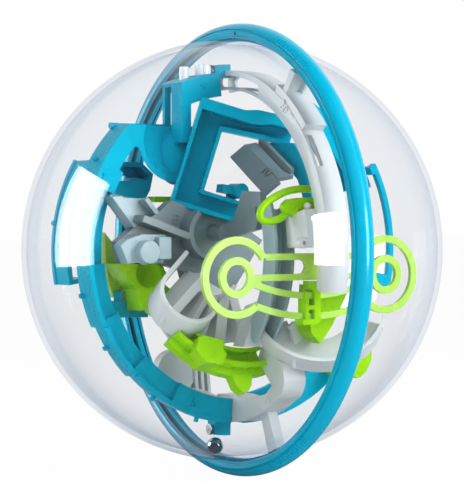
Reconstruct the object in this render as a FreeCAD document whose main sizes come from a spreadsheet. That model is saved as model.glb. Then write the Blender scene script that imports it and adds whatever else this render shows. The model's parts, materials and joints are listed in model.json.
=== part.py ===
"""Tilt maze game: a clear ball held by a blue hand ring, with a track maze inside.

Frame: origin at the centre of the clear ball, +Z up, Y along the axis of the
hand ring.  The left half shell is on the -Y side.  All sizes are millimetres.

Two flat families of track cross each other inside the ball.  Tracks "about Y"
run parallel to the hand ring; tracks "about X" stand square to it.
"""
import FreeCAD, Part
import math
import os

import Sketcher
from FreeCAD import Placement, Rotation, Vector

doc = FreeCAD.newDocument("TiltMaze")

# ---------------------------------------------------------------- driving sizes
# name: (value, what it sizes)
SIZES = {
    # clear half shells and the ring that clamps them
    "shell_radius": (88.0, "outer radius of the clear half shells"),
    "shell_wall": (2.0, "wall of the half shells"),
    "flange_reach": (2.6, "how far the rim flange stands out from a half shell"),
    "flange_thick": (1.2, "thickness of that flange"),
    "seat_gap": (0.1, "play on each side of a clamped flange"),
    "web_half": (1.2, "half thickness of the ring web between the flanges"),
    "web_bite": (5.8, "how far that web reaches in from the edge of the flanges"),
    "grip_inset": (0.5, "how far the middle of the hand grip lies inside that edge"),
    "grip_half": (4.6, "radius of the round grip, half the ring's width"),
    "lip_gap": (0.3, "gap between the shells and the ring lips outside them"),
    "lip_bevel": (0.8, "bevel on those lips"),
    "groove_width": (1.4, "width of the line groove beside the grip"),
    "groove_depth": (0.9, "depth of that groove"),
    "screw_angle": (92.0, "place of the upper ring screw round the ring"),
    "screw_spread": (96.0, "angle from one ring screw to the next"),
    "screw_radius": (1.2, "radius of the ring screws"),
    "screw_play": (0.1, "play of the ring screws in their holes"),
    "screw_sink": (0.9, "depth of a ring screw head below the face"),
    # ball
    "ball_radius": (3.5, "radius of the steel ball"),
    "ball_gap": (0.3, "gap between the ball and the shell"),
    "ball_lane": (8.5, "distance of the ball from the ring plane at rest"),
    # shared by the moulded tracks
    "track_wall": (1.6, "wall of the moulded tracks"),
    # grey track parallel to the ring
    "grey_outer": (75.0, "outer radius of the grey track"),
    "grey_inner": (67.0, "inner radius of the grey track"),
    "grey_slope": (3.4, "width of the bevel along the grey track front"),
    "grey_ledge": (1.4, "depth of that bevel"),
    "grey_half": (5.3, "half width of the grey track"),
    "grey_top": (97.0, "angle of the top end of the grey track"),
    "grey_end": (-12.0, "angle of the lower end of the grey track"),
    "pad_outer": (78.2, "outer radius of the thicker pad under the upper post"),
    "pad_start": (40.0, "lower end of that pad"),
    "pad_end": (59.0, "upper end of that pad"),
    "slot_outer": (72.7, "outer radius of the long hole at the top"),
    "slot_inner": (68.2, "inner radius of the long hole at the top"),
    "slot_start": (69.0, "first end of the long hole"),
    "slot_sweep": (22.0, "angle that the long hole spans"),
    "post_high": (54.7, "place of the upper post round the ring"),
    "post_low": (-67.6, "place of the lower post round the ring"),
    "post_sweep": (4.6, "angle that a post rib spans"),
    "post_web": (1.8, "angle that a post web spans"),
    "post_half": (4.5, "half width of a post"),
    "post_rib": (1.8, "thickness of a post rib"),
    "foot_half": (2.4, "half width of the lower post"),
    "foot_sweep": (3.6, "angle that the lower post spans"),
    # inner grey track
    "lane_outer": (53.0, "outer radius of the inner grey track"),
    "lane_inner": (44.5, "inner radius of the inner grey track"),
    "lane_front": (-14.5, "front edge of the inner grey track"),
    "lane_back": (-5.0, "back edge of the inner grey track"),
    "lane_start": (-44.0, "lower end of the inner grey track"),
    "lane_end": (22.0, "upper end of the inner grey track"),
    # blue track square to the ring
    "rim_outer": (72.0, "outer radius of the blue track"),
    "rim_thick": (2.0, "thickness of the blue outer rim"),
    "peg_radius": (1.0, "radius of the pegs on the blue rim"),
    "peg_reach": (1.8, "how far those pegs stand out"),
    "rim_inner": (61.8, "inner radius of the blue track"),
    "rim_front": (6.5, "front edge of the blue outer rim"),
    "rim_back": (-4.3, "back edge of the blue track"),
    "rim_climb": (3.5, "how much further forward the rim starts at each stair"),
    "rim_rise": (0.8, "how much higher the rim ends at each stair"),
    "stair_first": (-1.8, "front of the first stair"),
    "stair_rise": (2.6, "rise from one stair to the next"),
    "upper_front": (1.0, "front of the upper blue track"),
    "upper_back": (-12.0, "back edge of the upper blue track"),
    "ledge_drop": (5.0, "depth of the sunk ledge on the upper blue track"),
    "ledge_width": (2.2, "width of that ledge"),
    "bar_low": (51.5, "height of the bar along the dished wall"),
    "landing_back": (-24.0, "far edge of the wide landing"),
    "landing_lip": (0.8, "height of the lip along the landing"),
    "arch_outer": (74.4, "outer radius of the blue arch"),
    "arch_inner": (64.5, "inner radius of the blue arch"),
    "arch_front": (4.2, "front of the blue arch"),
    "arch_back": (-12.0, "back of the rim over the blue arch"),
    "slot_bar": (1.8, "thickness of the bar beside the column's open slot"),
    "arch_start": (97.0, "right end of the blue arch"),
    "arch_end": (111.7, "left end of the blue arch"),
    "column_left": (-27.2, "left side of the blue column"),
    "column_right": (-22.8, "right side of the blue column"),
    "column_foot": (44.5, "foot of the blue column"),
    "dish_radius": (17.0, "radius of the dished wall"),
    "dish_thick": (8.0, "thickness of the dished wall"),
    "dish_bowl": (20.5, "radius of the hollow in the dished wall"),
    "dish_back": (-9.0, "back of the dished wall"),
    "dish_y": (-27.5, "sideways place of the hollow"),
    "dish_z": (45.3, "height of the hollow"),
    "flank_foot": (42.5, "foot of the wall left of the hollow"),
    "boss_half": (3.0, "half width of a joint boss"),
    "boss_reach": (77.6, "outer radius of a joint boss"),
    "boss_face": (-10.2, "face of the joint bosses, under their screw heads"),
    "boss_screw": (2.3, "radius of a boss screw head"),
    # square funnel
    "funnel_depth": (15.0, "depth of the funnel"),
    "funnel_wall": (2.2, "wall of the funnel"),
    "funnel_drop": (6.0, "how far the inner lip stays below the rim"),
    # green double key rail
    "key_plane": (57.8, "distance of the key rail's middle from the centre"),
    "key_thick": (1.8, "thickness of the key rail"),
    "key_reach": (36.0, "distance of each key eye from the ring plane"),
    "key_drop": (9.2, "height of the key eyes below the centre"),
    "eye_outer": (15.8, "outer radius of the large key ring"),
    "eye_band": (2.9, "width of the key rail's bands"),
    "eye_inner": (7.9, "outer radius of the small key ring"),
    "bar_less": (0.3, "how much narrower the key bars are than the rings"),
    # crescent tray
    "tray_x": (38.8, "forward place of the crescent tray"),
    "tray_y": (15.9, "sideways place of the crescent tray"),
    "tray_z": (-25.0, "height of the crescent tray"),
    "tray_radius": (27.8, "outer radius of the crescent tray"),
    "tray_inner": (13.5, "inner radius of the crescent floor"),
    "tray_deep": (9.0, "height of the crescent wall"),
    "tray_start": (-160.0, "left end of the crescent"),
    "tray_end": (-14.0, "right end of the crescent"),
    # hanging loop
    "bail_x": (17.4, "forward place of the hanging loop"),
    "bail_y": (-38.1, "sideways place of the hanging loop"),
    "bail_z": (-24.0, "height of the hanging loop"),
    "bail_radius": (12.8, "outer radius of the hanging loop"),
    "bail_wall": (2.0, "wall of the hanging loop"),
    "bail_deep": (12.0, "depth of the hanging loop"),
    "bail_leg": (19.0, "length of the loop's left leg"),
    "bail_arm": (21.0, "length of the loop's right leg"),
    # centre frame
    "hub_front": (8.0, "front face of the centre plate"),
    "hub_thick": (5.0, "thickness of the centre plate"),
    # green curved track
    "swing_x": (12.0, "forward place of the green curved track"),
    "swing_y": (-12.3, "sideways centre of the green curved track"),
    "swing_z": (-8.0, "height of that centre"),
    "swing_start": (-139.0, "left end of the green curved track"),
    "swing_end": (-79.0, "right end of the green curved track"),
    # small green loop
    "bow_x": (52.0, "forward place of the small green loop"),
    "bow_radius": (18.5, "outer radius of the small green loop"),
    "bow_band": (3.0, "width of the small green loop"),
    "bow_thick": (3.0, "thickness of the small green loop"),
    "bow_y": (-1.6, "sideways place of the small green loop"),
    "bow_z": (17.8, "height of the small green loop"),
}

sheet = doc.addObject("Spreadsheet::Sheet", "Sizes")
for row, (name, (number, note)) in enumerate(SIZES.items(), start=1):
    sheet.set("A%d" % row, note)
    sheet.set("B%d" % row, str(number))
    sheet.setAlias("B%d" % row, name)
doc.recompute()


# ---------------------------------------------------------- sizes with formulas
class Size:
    """A number that remembers the sheet formula it comes from."""

    def __init__(self, value, text):
        self.value = value
        self.text = text

    def _join(self, sign, other, value):
        return Size(value, "(%s %s %s)" % (self.text, sign, other.text))

    def __add__(self, other):
        other = as_size(other)
        return self._join("+", other, self.value + other.value)

    def __sub__(self, other):
        other = as_size(other)
        return self._join("-", other, self.value - other.value)

    def __mul__(self, other):
        other = as_size(other)
        return self._join("*", other, self.value * other.value)

    def __truediv__(self, other):
        other = as_size(other)
        return self._join("/", other, self.value / other.value)

    def __radd__(self, other):
        return as_size(other) + self

    def __rsub__(self, other):
        return as_size(other) - self

    def __rmul__(self, other):
        return as_size(other) * self

    def __neg__(self):
        return Size(-self.value, "(0 - %s)" % self.text)


def as_size(number):
    """A plain number as a Size; a Size stays as it is."""
    if isinstance(number, Size):
        return number
    return Size(float(number), "(%r)" % float(number))


def root(size):
    """Square root of a size."""
    return Size(math.sqrt(size.value), "sqrt(%s)" % size.text)


def cosine(angle):
    """Cosine of an angle in degrees."""
    angle = as_size(angle)
    return Size(math.cos(math.radians(angle.value)), "cos(%s)" % angle.text)


def sine(angle):
    """Sine of an angle in degrees."""
    angle = as_size(angle)
    return Size(math.sin(math.radians(angle.value)), "sin(%s)" % angle.text)


class Sheet:
    """Every named size as an attribute, tied to its cell."""


S = Sheet()
for name, (number, note) in SIZES.items():
    setattr(S, name, Size(number, "Sizes." + name))


def bind(target, prop, size):
    """Drive a property of an object by a formula."""
    target.setExpression(prop, as_size(size).text)


# ------------------------------------------------------------ building features
# Turning a local frame into the object's frame.
ABOUT_Z = Rotation()
ABOUT_Y = Rotation(Vector(1, 0, 0), -90)            # local Z becomes +Y
ABOUT_X = Rotation(Vector(1, 1, 1), 120)            # local X, Y, Z become +Y, +Z, +X


def facing(turn=0, tilt=0, roll=0):
    """Front of a piece towards +X, then rolled, tipped up and swung to the left."""
    swing = Rotation(Vector(0, 0, 1), turn)
    tip = Rotation(Vector(0, 1, 0), -tilt)
    spin = Rotation(Vector(1, 0, 0), roll)
    return swing * tip * spin * ABOUT_X


def place(piece, x=0, y=0, z=0, rotation=ABOUT_Z):
    """Put a piece at a point that follows the sheet, with a fixed turn."""
    piece.Placement = Placement(Vector(0, 0, 0), rotation)
    bind(piece, "Placement.Base.x", x)
    bind(piece, "Placement.Base.y", y)
    bind(piece, "Placement.Base.z", z)
    return piece


def new_body(name):
    return doc.addObject("PartDesign::Body", name)


def new_sketch(body, plane="XY_Plane"):
    """A sketch on one of the body's own origin planes."""
    sketch = body.newObject("Sketcher::SketchObject", body.Name + "_sketch")
    support = next(face for face in body.Origin.OriginFeatures if face.Role == plane)
    sketch.AttachmentSupport = [(support, "")]
    sketch.MapMode = "FlatFace"
    return sketch


def drive(sketch, kind, edge, point, size):
    """Hold one coordinate of a sketch point at a size."""
    index = sketch.addConstraint(Sketcher.Constraint(kind, -1, 1, edge, point, size.value))
    bind(sketch, "Constraints[%d]" % index, size)


def outline(sketch, corners, arcs=None):
    """Close a loop through the corners.  arcs gives, for the corner that an edge
    leaves, the centre of its arc and whether it runs anticlockwise."""
    arcs = arcs or {}
    corners = [(as_size(x), as_size(y)) for x, y in corners]
    first = sketch.GeometryCount
    count = len(corners)
    ends = {}
    for i, (x, y) in enumerate(corners):
        start = Vector(x.value, y.value, 0)
        nxt = corners[(i + 1) % count]
        end = Vector(nxt[0].value, nxt[1].value, 0)
        ends[i] = (1, 2)
        if i not in arcs:
            sketch.addGeometry(Part.LineSegment(start, end), False)
            continue
        (cx, cy), anticlockwise = arcs[i]
        centre = Vector(as_size(cx).value, as_size(cy).value, 0)
        low, high = (start, end) if anticlockwise else (end, start)
        angles = [math.atan2(p.y - centre.y, p.x - centre.x) for p in (low, high)]
        circle = Part.Circle(centre, Vector(0, 0, 1), (start - centre).Length)
        sketch.addGeometry(Part.ArcOfCircle(circle, *angles), False)
        ends[i] = (1, 2) if anticlockwise else (2, 1)
    for i in range(count):
        after = (i + 1) % count
        sketch.addConstraint(Sketcher.Constraint(
            "Coincident", first + i, ends[i][1], first + after, ends[after][0]))
    for i, (x, y) in enumerate(corners):
        drive(sketch, "DistanceX", first + i, ends[i][0], x)
        drive(sketch, "DistanceY", first + i, ends[i][0], y)
    for i, ((cx, cy), _) in arcs.items():
        # The ends already fix the radius, so one centre coordinate is enough.
        (x0, y0), (x1, y1) = corners[i], corners[(i + 1) % count]
        if abs(y1.value - y0.value) > abs(x1.value - x0.value):
            drive(sketch, "DistanceX", first + i, 3, as_size(cx))
        else:
            drive(sketch, "DistanceY", first + i, 3, as_size(cy))


def box_corners(x0, y0, x1, y1):
    return [(x0, y0), (x1, y0), (x1, y1), (x0, y1)]


def revolve(body, corners, sweep, arcs=None, cut=False):
    """Turn a section of (radius, height) corners about the body's local Z."""
    sketch = new_sketch(body, "XZ_Plane")
    outline(sketch, corners, arcs)
    kind = "PartDesign::Groove" if cut else "PartDesign::Revolution"
    feature = body.newObject(kind, body.Name + "_turn")
    feature.Profile = sketch
    feature.ReferenceAxis = (sketch, ["V_Axis"])
    bind(feature, "Angle", sweep)
    return feature


def pad(body, corners, length, arcs=None):
    """Raise an outline on the body's local XY plane by a length."""
    sketch = new_sketch(body)
    outline(sketch, corners, arcs)
    feature = body.newObject("PartDesign::Pad", body.Name + "_pad")
    feature.Profile = sketch
    bind(feature, "Length", length)
    return feature


def pocket(body, corners, depth, floor, arcs=None):
    """Cut an outline upwards from a height above the local XY plane."""
    sketch = new_sketch(body)
    outline(sketch, corners, arcs)
    bind(sketch, "AttachmentOffset.Base.z", floor)
    feature = body.newObject("PartDesign::Pocket", body.Name + "_pocket")
    feature.Profile = sketch
    feature.Reversed = True
    bind(feature, "Length", depth)
    return feature


def cylinder(name, radius, height, x=0, y=0, z=0, rotation=ABOUT_Z):
    piece = doc.addObject("Part::Cylinder", name)
    bind(piece, "Radius", radius)
    bind(piece, "Height", height)
    return place(piece, x, y, z, rotation)


def block(name, length, width, height, x=0, y=0, z=0, rotation=ABOUT_Z):
    piece = doc.addObject("Part::Box", name)
    bind(piece, "Length", length)
    bind(piece, "Width", width)
    bind(piece, "Height", height)
    return place(piece, x, y, z, rotation)


def sphere(name, radius, x=0, y=0, z=0):
    piece = doc.addObject("Part::Sphere", name)
    bind(piece, "Radius", radius)
    return place(piece, x, y, z)


def joined(name, pieces):
    """One moulding made of several shapes."""
    fuse = doc.addObject("Part::MultiFuse", name)
    fuse.Shapes = pieces
    fuse.Refine = True
    return fuse


def trimmed(name, piece, tools):
    """A shape less everything in tools."""
    if len(tools) > 1:
        tools = [joined(name + "_tools", tools)]
    cut = doc.addObject("Part::Cut", name)
    cut.Base = piece
    cut.Tool = tools[0]
    return cut


nodes = {}


def node(name, piece):
    """Make a finished piece one sub-part of the assembly."""
    piece.Label = name
    nodes[name] = piece
    return piece


def about_y(end):
    """Turn for a band about Y whose last edge lies at this angle from +X to +Z."""
    return ABOUT_Y * Rotation(Vector(0, 0, 1), -end.value)


def about_x(start):
    """Turn for a band about X whose first edge lies at this angle from +Y to +Z."""
    return ABOUT_X * Rotation(Vector(0, 0, 1), start.value)


def ring_band(name, section, start, end, arcs=None):
    """Section swept round the Y axis between two angles measured from +X to +Z."""
    start, end = as_size(start), as_size(end)
    body = new_body(name)
    revolve(body, section, end - start, arcs)
    return place(body, rotation=about_y(end))


def cross_band(name, section, start, end, arcs=None):
    """Section swept round the X axis between two angles measured from +Y to +Z."""
    start, end = as_size(start), as_size(end)
    body = new_body(name)
    revolve(body, section, end - start, arcs)
    return place(body, rotation=about_x(start))


def channel(r_in, r_out, low, high, wall):
    """U section open towards the axis."""
    return [(r_in, low), (r_out, low), (r_out, high), (r_in, high),
            (r_in, high - wall), (r_out - wall, high - wall),
            (r_out - wall, low + wall), (r_in, low + wall)]


# ------------------------------------------------------------- shells and ring
flange_radius = S.shell_radius + S.flange_reach
web_radius = flange_radius - S.web_bite
grip_centre = flange_radius - S.grip_inset
lip_radius = S.shell_radius + S.lip_gap


def clear_shell(name, turn):
    """Half a hollow ball with a flat flange round its rim."""
    body = new_body(name)
    inner = S.shell_radius - S.shell_wall
    low = S.web_half + S.seat_gap
    top = low + S.flange_thick
    rim_in = root(inner * inner - low * low)
    rim_out = root(S.shell_radius * S.shell_radius - top * top)
    corners = [(rim_in, low), (flange_radius, low), (flange_radius, top),
               (rim_out, top), (0, S.shell_radius), (0, inner)]
    arcs = {3: ((0, 0), True), 5: ((0, 0), False)}
    revolve(body, corners, 360, arcs)
    return node(name, place(body, rotation=turn))


def ring_half(name, turn):
    """Half of the hand ring: web, flange seat, outer lip, line groove, round grip."""
    body = new_body(name)
    seat_radius = flange_radius + S.seat_gap
    seat_top = S.web_half + S.flange_thick + 2 * S.seat_gap
    grip_start = grip_centre + S.groove_width / 2
    grip_top = root(S.grip_half * S.grip_half - S.groove_width * S.groove_width / 4)
    corners = [(web_radius, 0), (grip_centre + S.grip_half, 0),
               (grip_start, grip_top),
               (grip_centre, S.grip_half - S.groove_depth),
               (grip_centre - S.groove_width / 2, S.grip_half),
               (lip_radius + S.lip_bevel, S.grip_half),
               (lip_radius, S.grip_half - S.lip_bevel),
               (lip_radius, seat_top), (seat_radius, seat_top),
               (seat_radius, S.web_half), (web_radius, S.web_half)]
    revolve(body, corners, 360, {1: ((grip_centre, 0), True)})
    return place(body, rotation=turn)


LEFT = Rotation(Vector(1, 0, 0), 90)                # local Z becomes -Y
RIGHT = ABOUT_Y

clear_shell("shell_left", LEFT)
clear_shell("shell_right", RIGHT)

screw_reach = S.grip_half - S.screw_sink
screw_circle = (flange_radius + S.seat_gap + grip_centre + S.grip_half) / 2
screw_angles = [S.screw_angle, S.screw_angle + S.screw_spread]


def ring_pins(name, radius, low, high):
    """Round pins through the grip, parallel to Y, at each ring screw."""
    pins = []
    for number, angle in enumerate(screw_angles):
        pins.append(cylinder("%s_%d" % (name, number), radius, high - low,
                             screw_circle * cosine(angle), low,
                             screw_circle * sine(angle), ABOUT_Y))
    return joined(name, pins)


node("ring_screws", ring_pins("ring_screw_set", S.screw_radius, -screw_reach, screw_reach))
for side, turn in (("left", LEFT), ("right", RIGHT)):
    holes = ring_pins("ring_holes_" + side, S.screw_radius + S.screw_play,
                      -S.grip_half * 2, S.grip_half * 2)
    node("ring_" + side, trimmed("ring_cut_" + side, ring_half("ring_body_" + side, turn),
                                 [holes]))

# ------------------------------------------------------------------ steel ball
ball_reach = S.shell_radius - S.shell_wall - S.ball_radius - S.ball_gap
ball_drop = root(ball_reach * ball_reach - S.ball_lane * S.ball_lane)
node("steel_ball", sphere("ball", S.ball_radius, 0, -S.ball_lane, -ball_drop))


# ------------------------------------------------------------------ grey track
def wall_slab(name, corners, thick, front, rotation=LEFT, arcs=None):
    """Outline in the XZ plane, thickened from its front face towards +Y."""
    body = new_body(name)
    pad(body, corners, thick, arcs)
    return place(body, 0, front + thick, 0, rotation)


def grey_track():
    """Grey channel parallel to the ring, with a long hole near the top."""
    half, wall = S.grey_half, S.track_wall
    section = [(S.grey_inner, wall + S.grey_ledge - half), (S.grey_inner, S.grey_ledge - half),
               (S.grey_inner + S.grey_slope, -half), (S.grey_outer, -half),
               (S.grey_outer, half), (S.grey_inner, half), (S.grey_inner, half - wall),
               (S.grey_outer - wall, half - wall),
               (S.grey_outer - wall, wall + S.grey_ledge - half)]
    band = ring_band("grey_band", section, S.grey_end, S.grey_top)
    end = S.slot_start + S.slot_sweep
    reach = S.grey_half * 2
    hole = ring_band("slot_band", box_corners(S.slot_inner, -reach, S.slot_outer, reach),
                     S.slot_start, end)
    middle = (S.slot_inner + S.slot_outer) / 2
    round_ends = [cylinder("slot_end_%d" % number, (S.slot_outer - S.slot_inner) / 2,
                           2 * reach, middle * cosine(angle), -reach,
                           middle * sine(angle), ABOUT_Y)
                  for number, angle in enumerate((S.slot_start, end))]
    pad_band = ring_band("grey_pad", box_corners(S.grey_outer - S.track_wall, 0.4 - half,
                                                 S.pad_outer, half), S.pad_start, S.pad_end)
    side_hole = ring_band("grey_side_hole", box_corners(S.grey_inner + S.grey_slope + 1, -4,
                                                        S.pad_outer + 4, -1.4), 27, 38)
    return trimmed("grey_cut", joined("grey_padded", [band, pad_band]),
                   [hole, side_hole] + round_ends)


def lower_grey_track():
    """Lower end of the grey channel, whose cranked tongue climbs to the tray."""
    half, wall = S.grey_half, S.track_wall
    outer = [(-3, -71.8), (8.8, -71.3), (39.8, -59.8), (45.9, -51), (44, -44), (38, -42),
             (34, -37), (30.5, -37), (27, -44), (37, -54), (33, -57.6), (21, -61), (8, -60),
             (-3, -60.4)]
    curves = {1: ((0, 0), True), 2: ((36.5, -51), True)}
    hollow = [(-1, -69.8), (9, -69.3), (38.6, -58.2), (43.9, -51), (42, -44),
              (37, -43.6), (33.4, -39), (31.8, -39), (29.6, -43.6), (39.8, -54.2),
              (34, -59.5), (21, -63), (9, -62), (-1, -62.4)]
    body = new_body("low_body")
    pad(body, outer, 2 * half, curves)
    pocket(body, hollow, 2 * half, -1, {1: ((0, 0), True)})
    front = wall_slab("low_front", outer, wall, -half, LEFT, curves)
    return joined("low_all", [place(body, 0, half, 0, LEFT), front])


def flat_bar(name, start, end, width, length, x):
    """Bar drawn in the YZ plane between two points and raised towards +X."""
    (y0, z0), (y1, z1) = start, end
    run = math.hypot(y1 - y0, z1 - z0)
    sy, sz = (z0 - z1) / run * width / 2, (y1 - y0) / run * width / 2
    body = new_body(name)
    pad(body, [(y0 + sy, z0 + sz), (y0 - sy, z0 - sz), (y1 - sy, z1 - sz), (y1 + sy, z1 + sz)],
        length)
    return place(body, x, 0, 0, ABOUT_X)


def front_slab(name, corners, length, x, arcs=None):
    """Outline in the YZ plane, raised towards +X from x."""
    body = new_body(name)
    pad(body, corners, length, arcs)
    return place(body, x, 0, 0, ABOUT_X)


def inner_lane():
    """Grey channel inside the main one, open outwards."""
    wall = S.track_wall
    section = [(S.lane_inner, S.lane_front), (S.lane_outer, S.lane_front),
               (S.lane_outer, S.lane_front + wall), (S.lane_inner + wall, S.lane_front + wall),
               (S.lane_inner + wall, S.lane_back - wall), (S.lane_outer, S.lane_back - wall),
               (S.lane_outer, S.lane_back), (S.lane_inner, S.lane_back)]
    return ring_band("lane_band", section, S.lane_start, S.lane_end)


def crescent_tray():
    """Deep crescent tray, tipped up towards the front."""
    body = new_body("tray_body")
    wall = S.track_wall
    section = [(S.tray_inner, 0), (S.tray_radius, 0), (S.tray_radius, S.tray_deep),
               (S.tray_radius - wall, S.tray_deep), (S.tray_radius - wall, wall),
               (S.tray_inner, wall)]
    revolve(body, section, S.tray_end - S.tray_start)
    turn = TRAY_TURN * Rotation(Vector(0, 0, 1), S.tray_start.value)
    return place(body, S.tray_x, S.tray_y, S.tray_z, turn)


def post(name, angle, start, width, sweep):
    """Ribbed post from the grey track out to the web of the ring."""
    web = width - S.post_rib
    low, high = angle - sweep / 2, angle + sweep / 2
    ribs = [ring_band("%s_rib_%d" % (name, number),
                      box_corners(start, edge, web_radius, edge + S.post_rib),
                      low, high)
            for number, edge in enumerate((-width, web))]
    plate = ring_band(name + "_web", box_corners(start, -web, web_radius, web),
                      high - S.post_web, high)
    return joined(name + "_all", ribs + [plate])


TRAY_TURN = facing(-30, 34)
upper_grey = node("grey_track_upper", grey_track())
lane = node("grey_inner_lane", inner_lane())
tray = node("grey_crescent_tray", trimmed("tray_seat", crescent_tray(), [lane]))
lower_grey = node("grey_track_lower", trimmed("low_seat", lower_grey_track(), [tray, lane]))
node("post_upper", post("post_high", S.post_high, S.pad_outer, S.post_half, S.post_sweep))
low_post = post("post_low", S.post_low, S.rim_outer - 1.4, S.foot_half, S.foot_sweep)
node("post_lower", trimmed("post_low_cut", low_post, [lower_grey]))


# ------------------------------------------------------------------ blue track
def rim_peg(name, angle, x):
    """Little peg that stands out from the blue rim towards the shell."""
    turn = about_x(as_size(angle)) * ABOUT_Y
    root_radius = S.rim_outer - S.rim_thick
    angle = as_size(angle)
    return cylinder(name, S.peg_radius, S.rim_thick + S.peg_reach, x,
                    root_radius * cosine(angle), root_radius * sine(angle),
                    Rotation(Vector(1, 0, 0), angle.value - 90))


def stair_track():
    """Blue staircase square to the ring: each stair steps forward of the last."""
    pieces = []
    edges = [158, 186, 205, 224.5, 242, 265]
    inner = S.rim_outer - S.rim_thick
    for number, (start, end) in enumerate(zip(edges, edges[1:])):
        front = S.stair_first + number * S.stair_rise
        back = S.rim_back + max(number - 1, 0) * S.rim_climb
        crest = S.rim_front + max(number - 1, 0) * S.rim_rise
        section = [(S.rim_inner, front - S.track_wall), (inner, front - S.track_wall),
                   (inner, back), (S.rim_outer, back), (S.rim_outer, crest), (inner, crest),
                   (inner, front), (S.rim_inner, front)]
        pieces.append(cross_band("stair_%d" % number, section, start, end))
        if number:
            riser = box_corners(S.rim_inner, front - S.stair_rise - S.track_wall,
                                S.rim_outer, front)
            pieces.append(cross_band("riser_%d" % number, riser, start - 1.6, start))
    for number, (angle, x) in enumerate(((194, -2), (212, 1.5), (235, 4.5), (252, 7.4))):
        pieces.append(rim_peg("stair_peg_%d" % number, angle, x))
    return joined("stair_all", pieces)


def upper_track():
    """Upper blue track, set back, with a sunk ledge along its inner edge."""
    wall = S.track_wall
    section = [(S.rim_inner, S.upper_front - S.ledge_drop - wall),
               (S.rim_outer - wall, S.upper_front - S.ledge_drop - wall),
               (S.rim_outer - wall, S.upper_back), (S.rim_outer, S.upper_back),
               (S.rim_outer, S.upper_front), (S.rim_inner, S.upper_front)]
    band = cross_band("upper_band", section, 128.5, 158)
    ledge = cross_band("upper_ledge",
                       box_corners(S.rim_inner - 1, S.upper_front - S.ledge_drop,
                                   S.rim_inner + S.ledge_width, S.upper_front + 1), 137.5, 149)
    above = block("upper_above", 30, 30, 20, -20, -60, S.bar_low)
    beside = block("upper_beside", 20, 20, 20, -14, -49.6, S.flank_foot)
    pegs = [rim_peg("upper_peg", 149, S.upper_back + 6)]
    return trimmed("upper_cut", joined("upper_all", [band] + pegs), [ledge, above, beside])


def landing():
    """Wide curved landing behind the stairs, closed by a sloping end wall."""
    inner = S.rim_outer - S.rim_thick
    band = cross_band("landing_band",
                      [(inner, S.upper_back), (inner, S.landing_back),
                       (S.rim_outer + S.landing_lip, S.landing_back),
                       (S.rim_outer + S.landing_lip, S.landing_back + S.track_wall),
                       (S.rim_outer, S.landing_back + S.track_wall), (S.rim_outer, S.upper_back)],
                      149, 191)
    wall = cross_band("landing_wall", box_corners(S.rim_inner, S.landing_back, inner,
                                                  S.upper_back), 149, 150.5)
    foot = cross_band("landing_foot", box_corners(S.rim_inner + 3, S.landing_back, inner,
                                                  S.upper_back), 189.5, 191)
    peg = rim_peg("landing_peg", 171, S.landing_back + 1)
    return joined("landing_all", [band, wall, foot, peg])


def arch_column():
    """Blue arch over the top; a column with an open slot beside it hangs down from it."""
    wall = S.track_wall
    arch = cross_band("arch_band", [(S.arch_inner, S.arch_front - wall),
                                    (S.arch_outer - wall, S.arch_front - wall),
                                    (S.arch_outer - wall, S.arch_back),
                                    (S.arch_outer, S.arch_back), (S.arch_outer, S.arch_front),
                                    (S.arch_inner, S.arch_front)], S.arch_start, S.arch_end)
    under = cross_band("arch_under", box_corners(S.arch_inner, S.rim_back, S.arch_inner + wall,
                                                 S.arch_front), S.arch_start, 108)
    width = S.column_right - S.column_left
    top = root(S.arch_outer * S.arch_outer - S.column_left * S.column_left) - wall / 2
    column = block("column", S.arch_front - S.rim_back, width, top - S.column_foot,
                   S.rim_back, S.column_left, S.column_foot)
    slot_bar = block("column_slot_bar", S.slot_bar, 3, top - S.bar_low, S.arch_back,
                     S.column_left + 0.4, S.bar_low)
    notch = cylinder("arch_notch", S.boss_screw + 0.2, 4, 0, S.boss_face - 3,
                     (S.rim_outer + S.boss_reach) / 2, ABOUT_Y)
    return trimmed("arch_notched", joined("arch_all", [arch, under, column, slot_bar]), [notch])


def dish_wall():
    """Wall left of the column that ends in a round thin-walled bowl."""
    front = S.dish_back + S.dish_thick
    centre = front + S.dish_bowl + S.track_wall - S.dish_thick
    disc = sphere("dish_outside", S.dish_bowl + S.track_wall, centre, S.dish_y, S.dish_z)
    flank = block("dish_flank", S.dish_thick, S.dish_y + 49.4, S.bar_low - S.flank_foot,
                  S.dish_back, -49.4, S.flank_foot)
    bowl = sphere("dish_hollow", S.dish_bowl, centre, S.dish_y, S.dish_z)
    ahead = block("dish_ahead", 60, 80, 80, front, S.dish_y - 40, S.dish_z - 40)
    over = block("dish_over", 40, 80, 40, -20, -80, S.bar_low)
    beside = block("dish_beside", 40, 30, 14, -20, S.dish_y + 2.1, 23)
    return trimmed("dish_cut", joined("dish_all", [disc, flank]), [bowl, ahead, over, beside])


def beam(name, start, end, width, deep, roll=0):
    """Straight bar between two points; depth lies along its rolled Z."""
    along = Vector(*end) - Vector(*start)
    turn = Rotation(Vector(1, 0, 0), along) * Rotation(Vector(1, 0, 0), roll)
    shift = turn.multVec(Vector(0, -width / 2, -deep / 2))
    base = Vector(*start) + shift
    return block(name, along.Length, width, deep, base.x, base.y, base.z, turn)


def trough(name, start, end, width, deep, roll=0):
    """Straight U channel between two points, open along its rolled Z."""
    outer = beam(name + "_outer", start, end, width, deep, roll)
    wall = S.track_wall.value
    along = (Vector(*end) - Vector(*start)).normalize()
    turn = Rotation(Vector(1, 0, 0), along) * Rotation(Vector(1, 0, 0), roll)
    lift = turn.multVec(Vector(0, 0, wall))
    inner = beam(name + "_inner", tuple(Vector(*start) - along + lift),
                 tuple(Vector(*end) + along + lift), width - 2 * wall, deep, roll)
    return trimmed(name + "_cut", outer, [inner])


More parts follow.
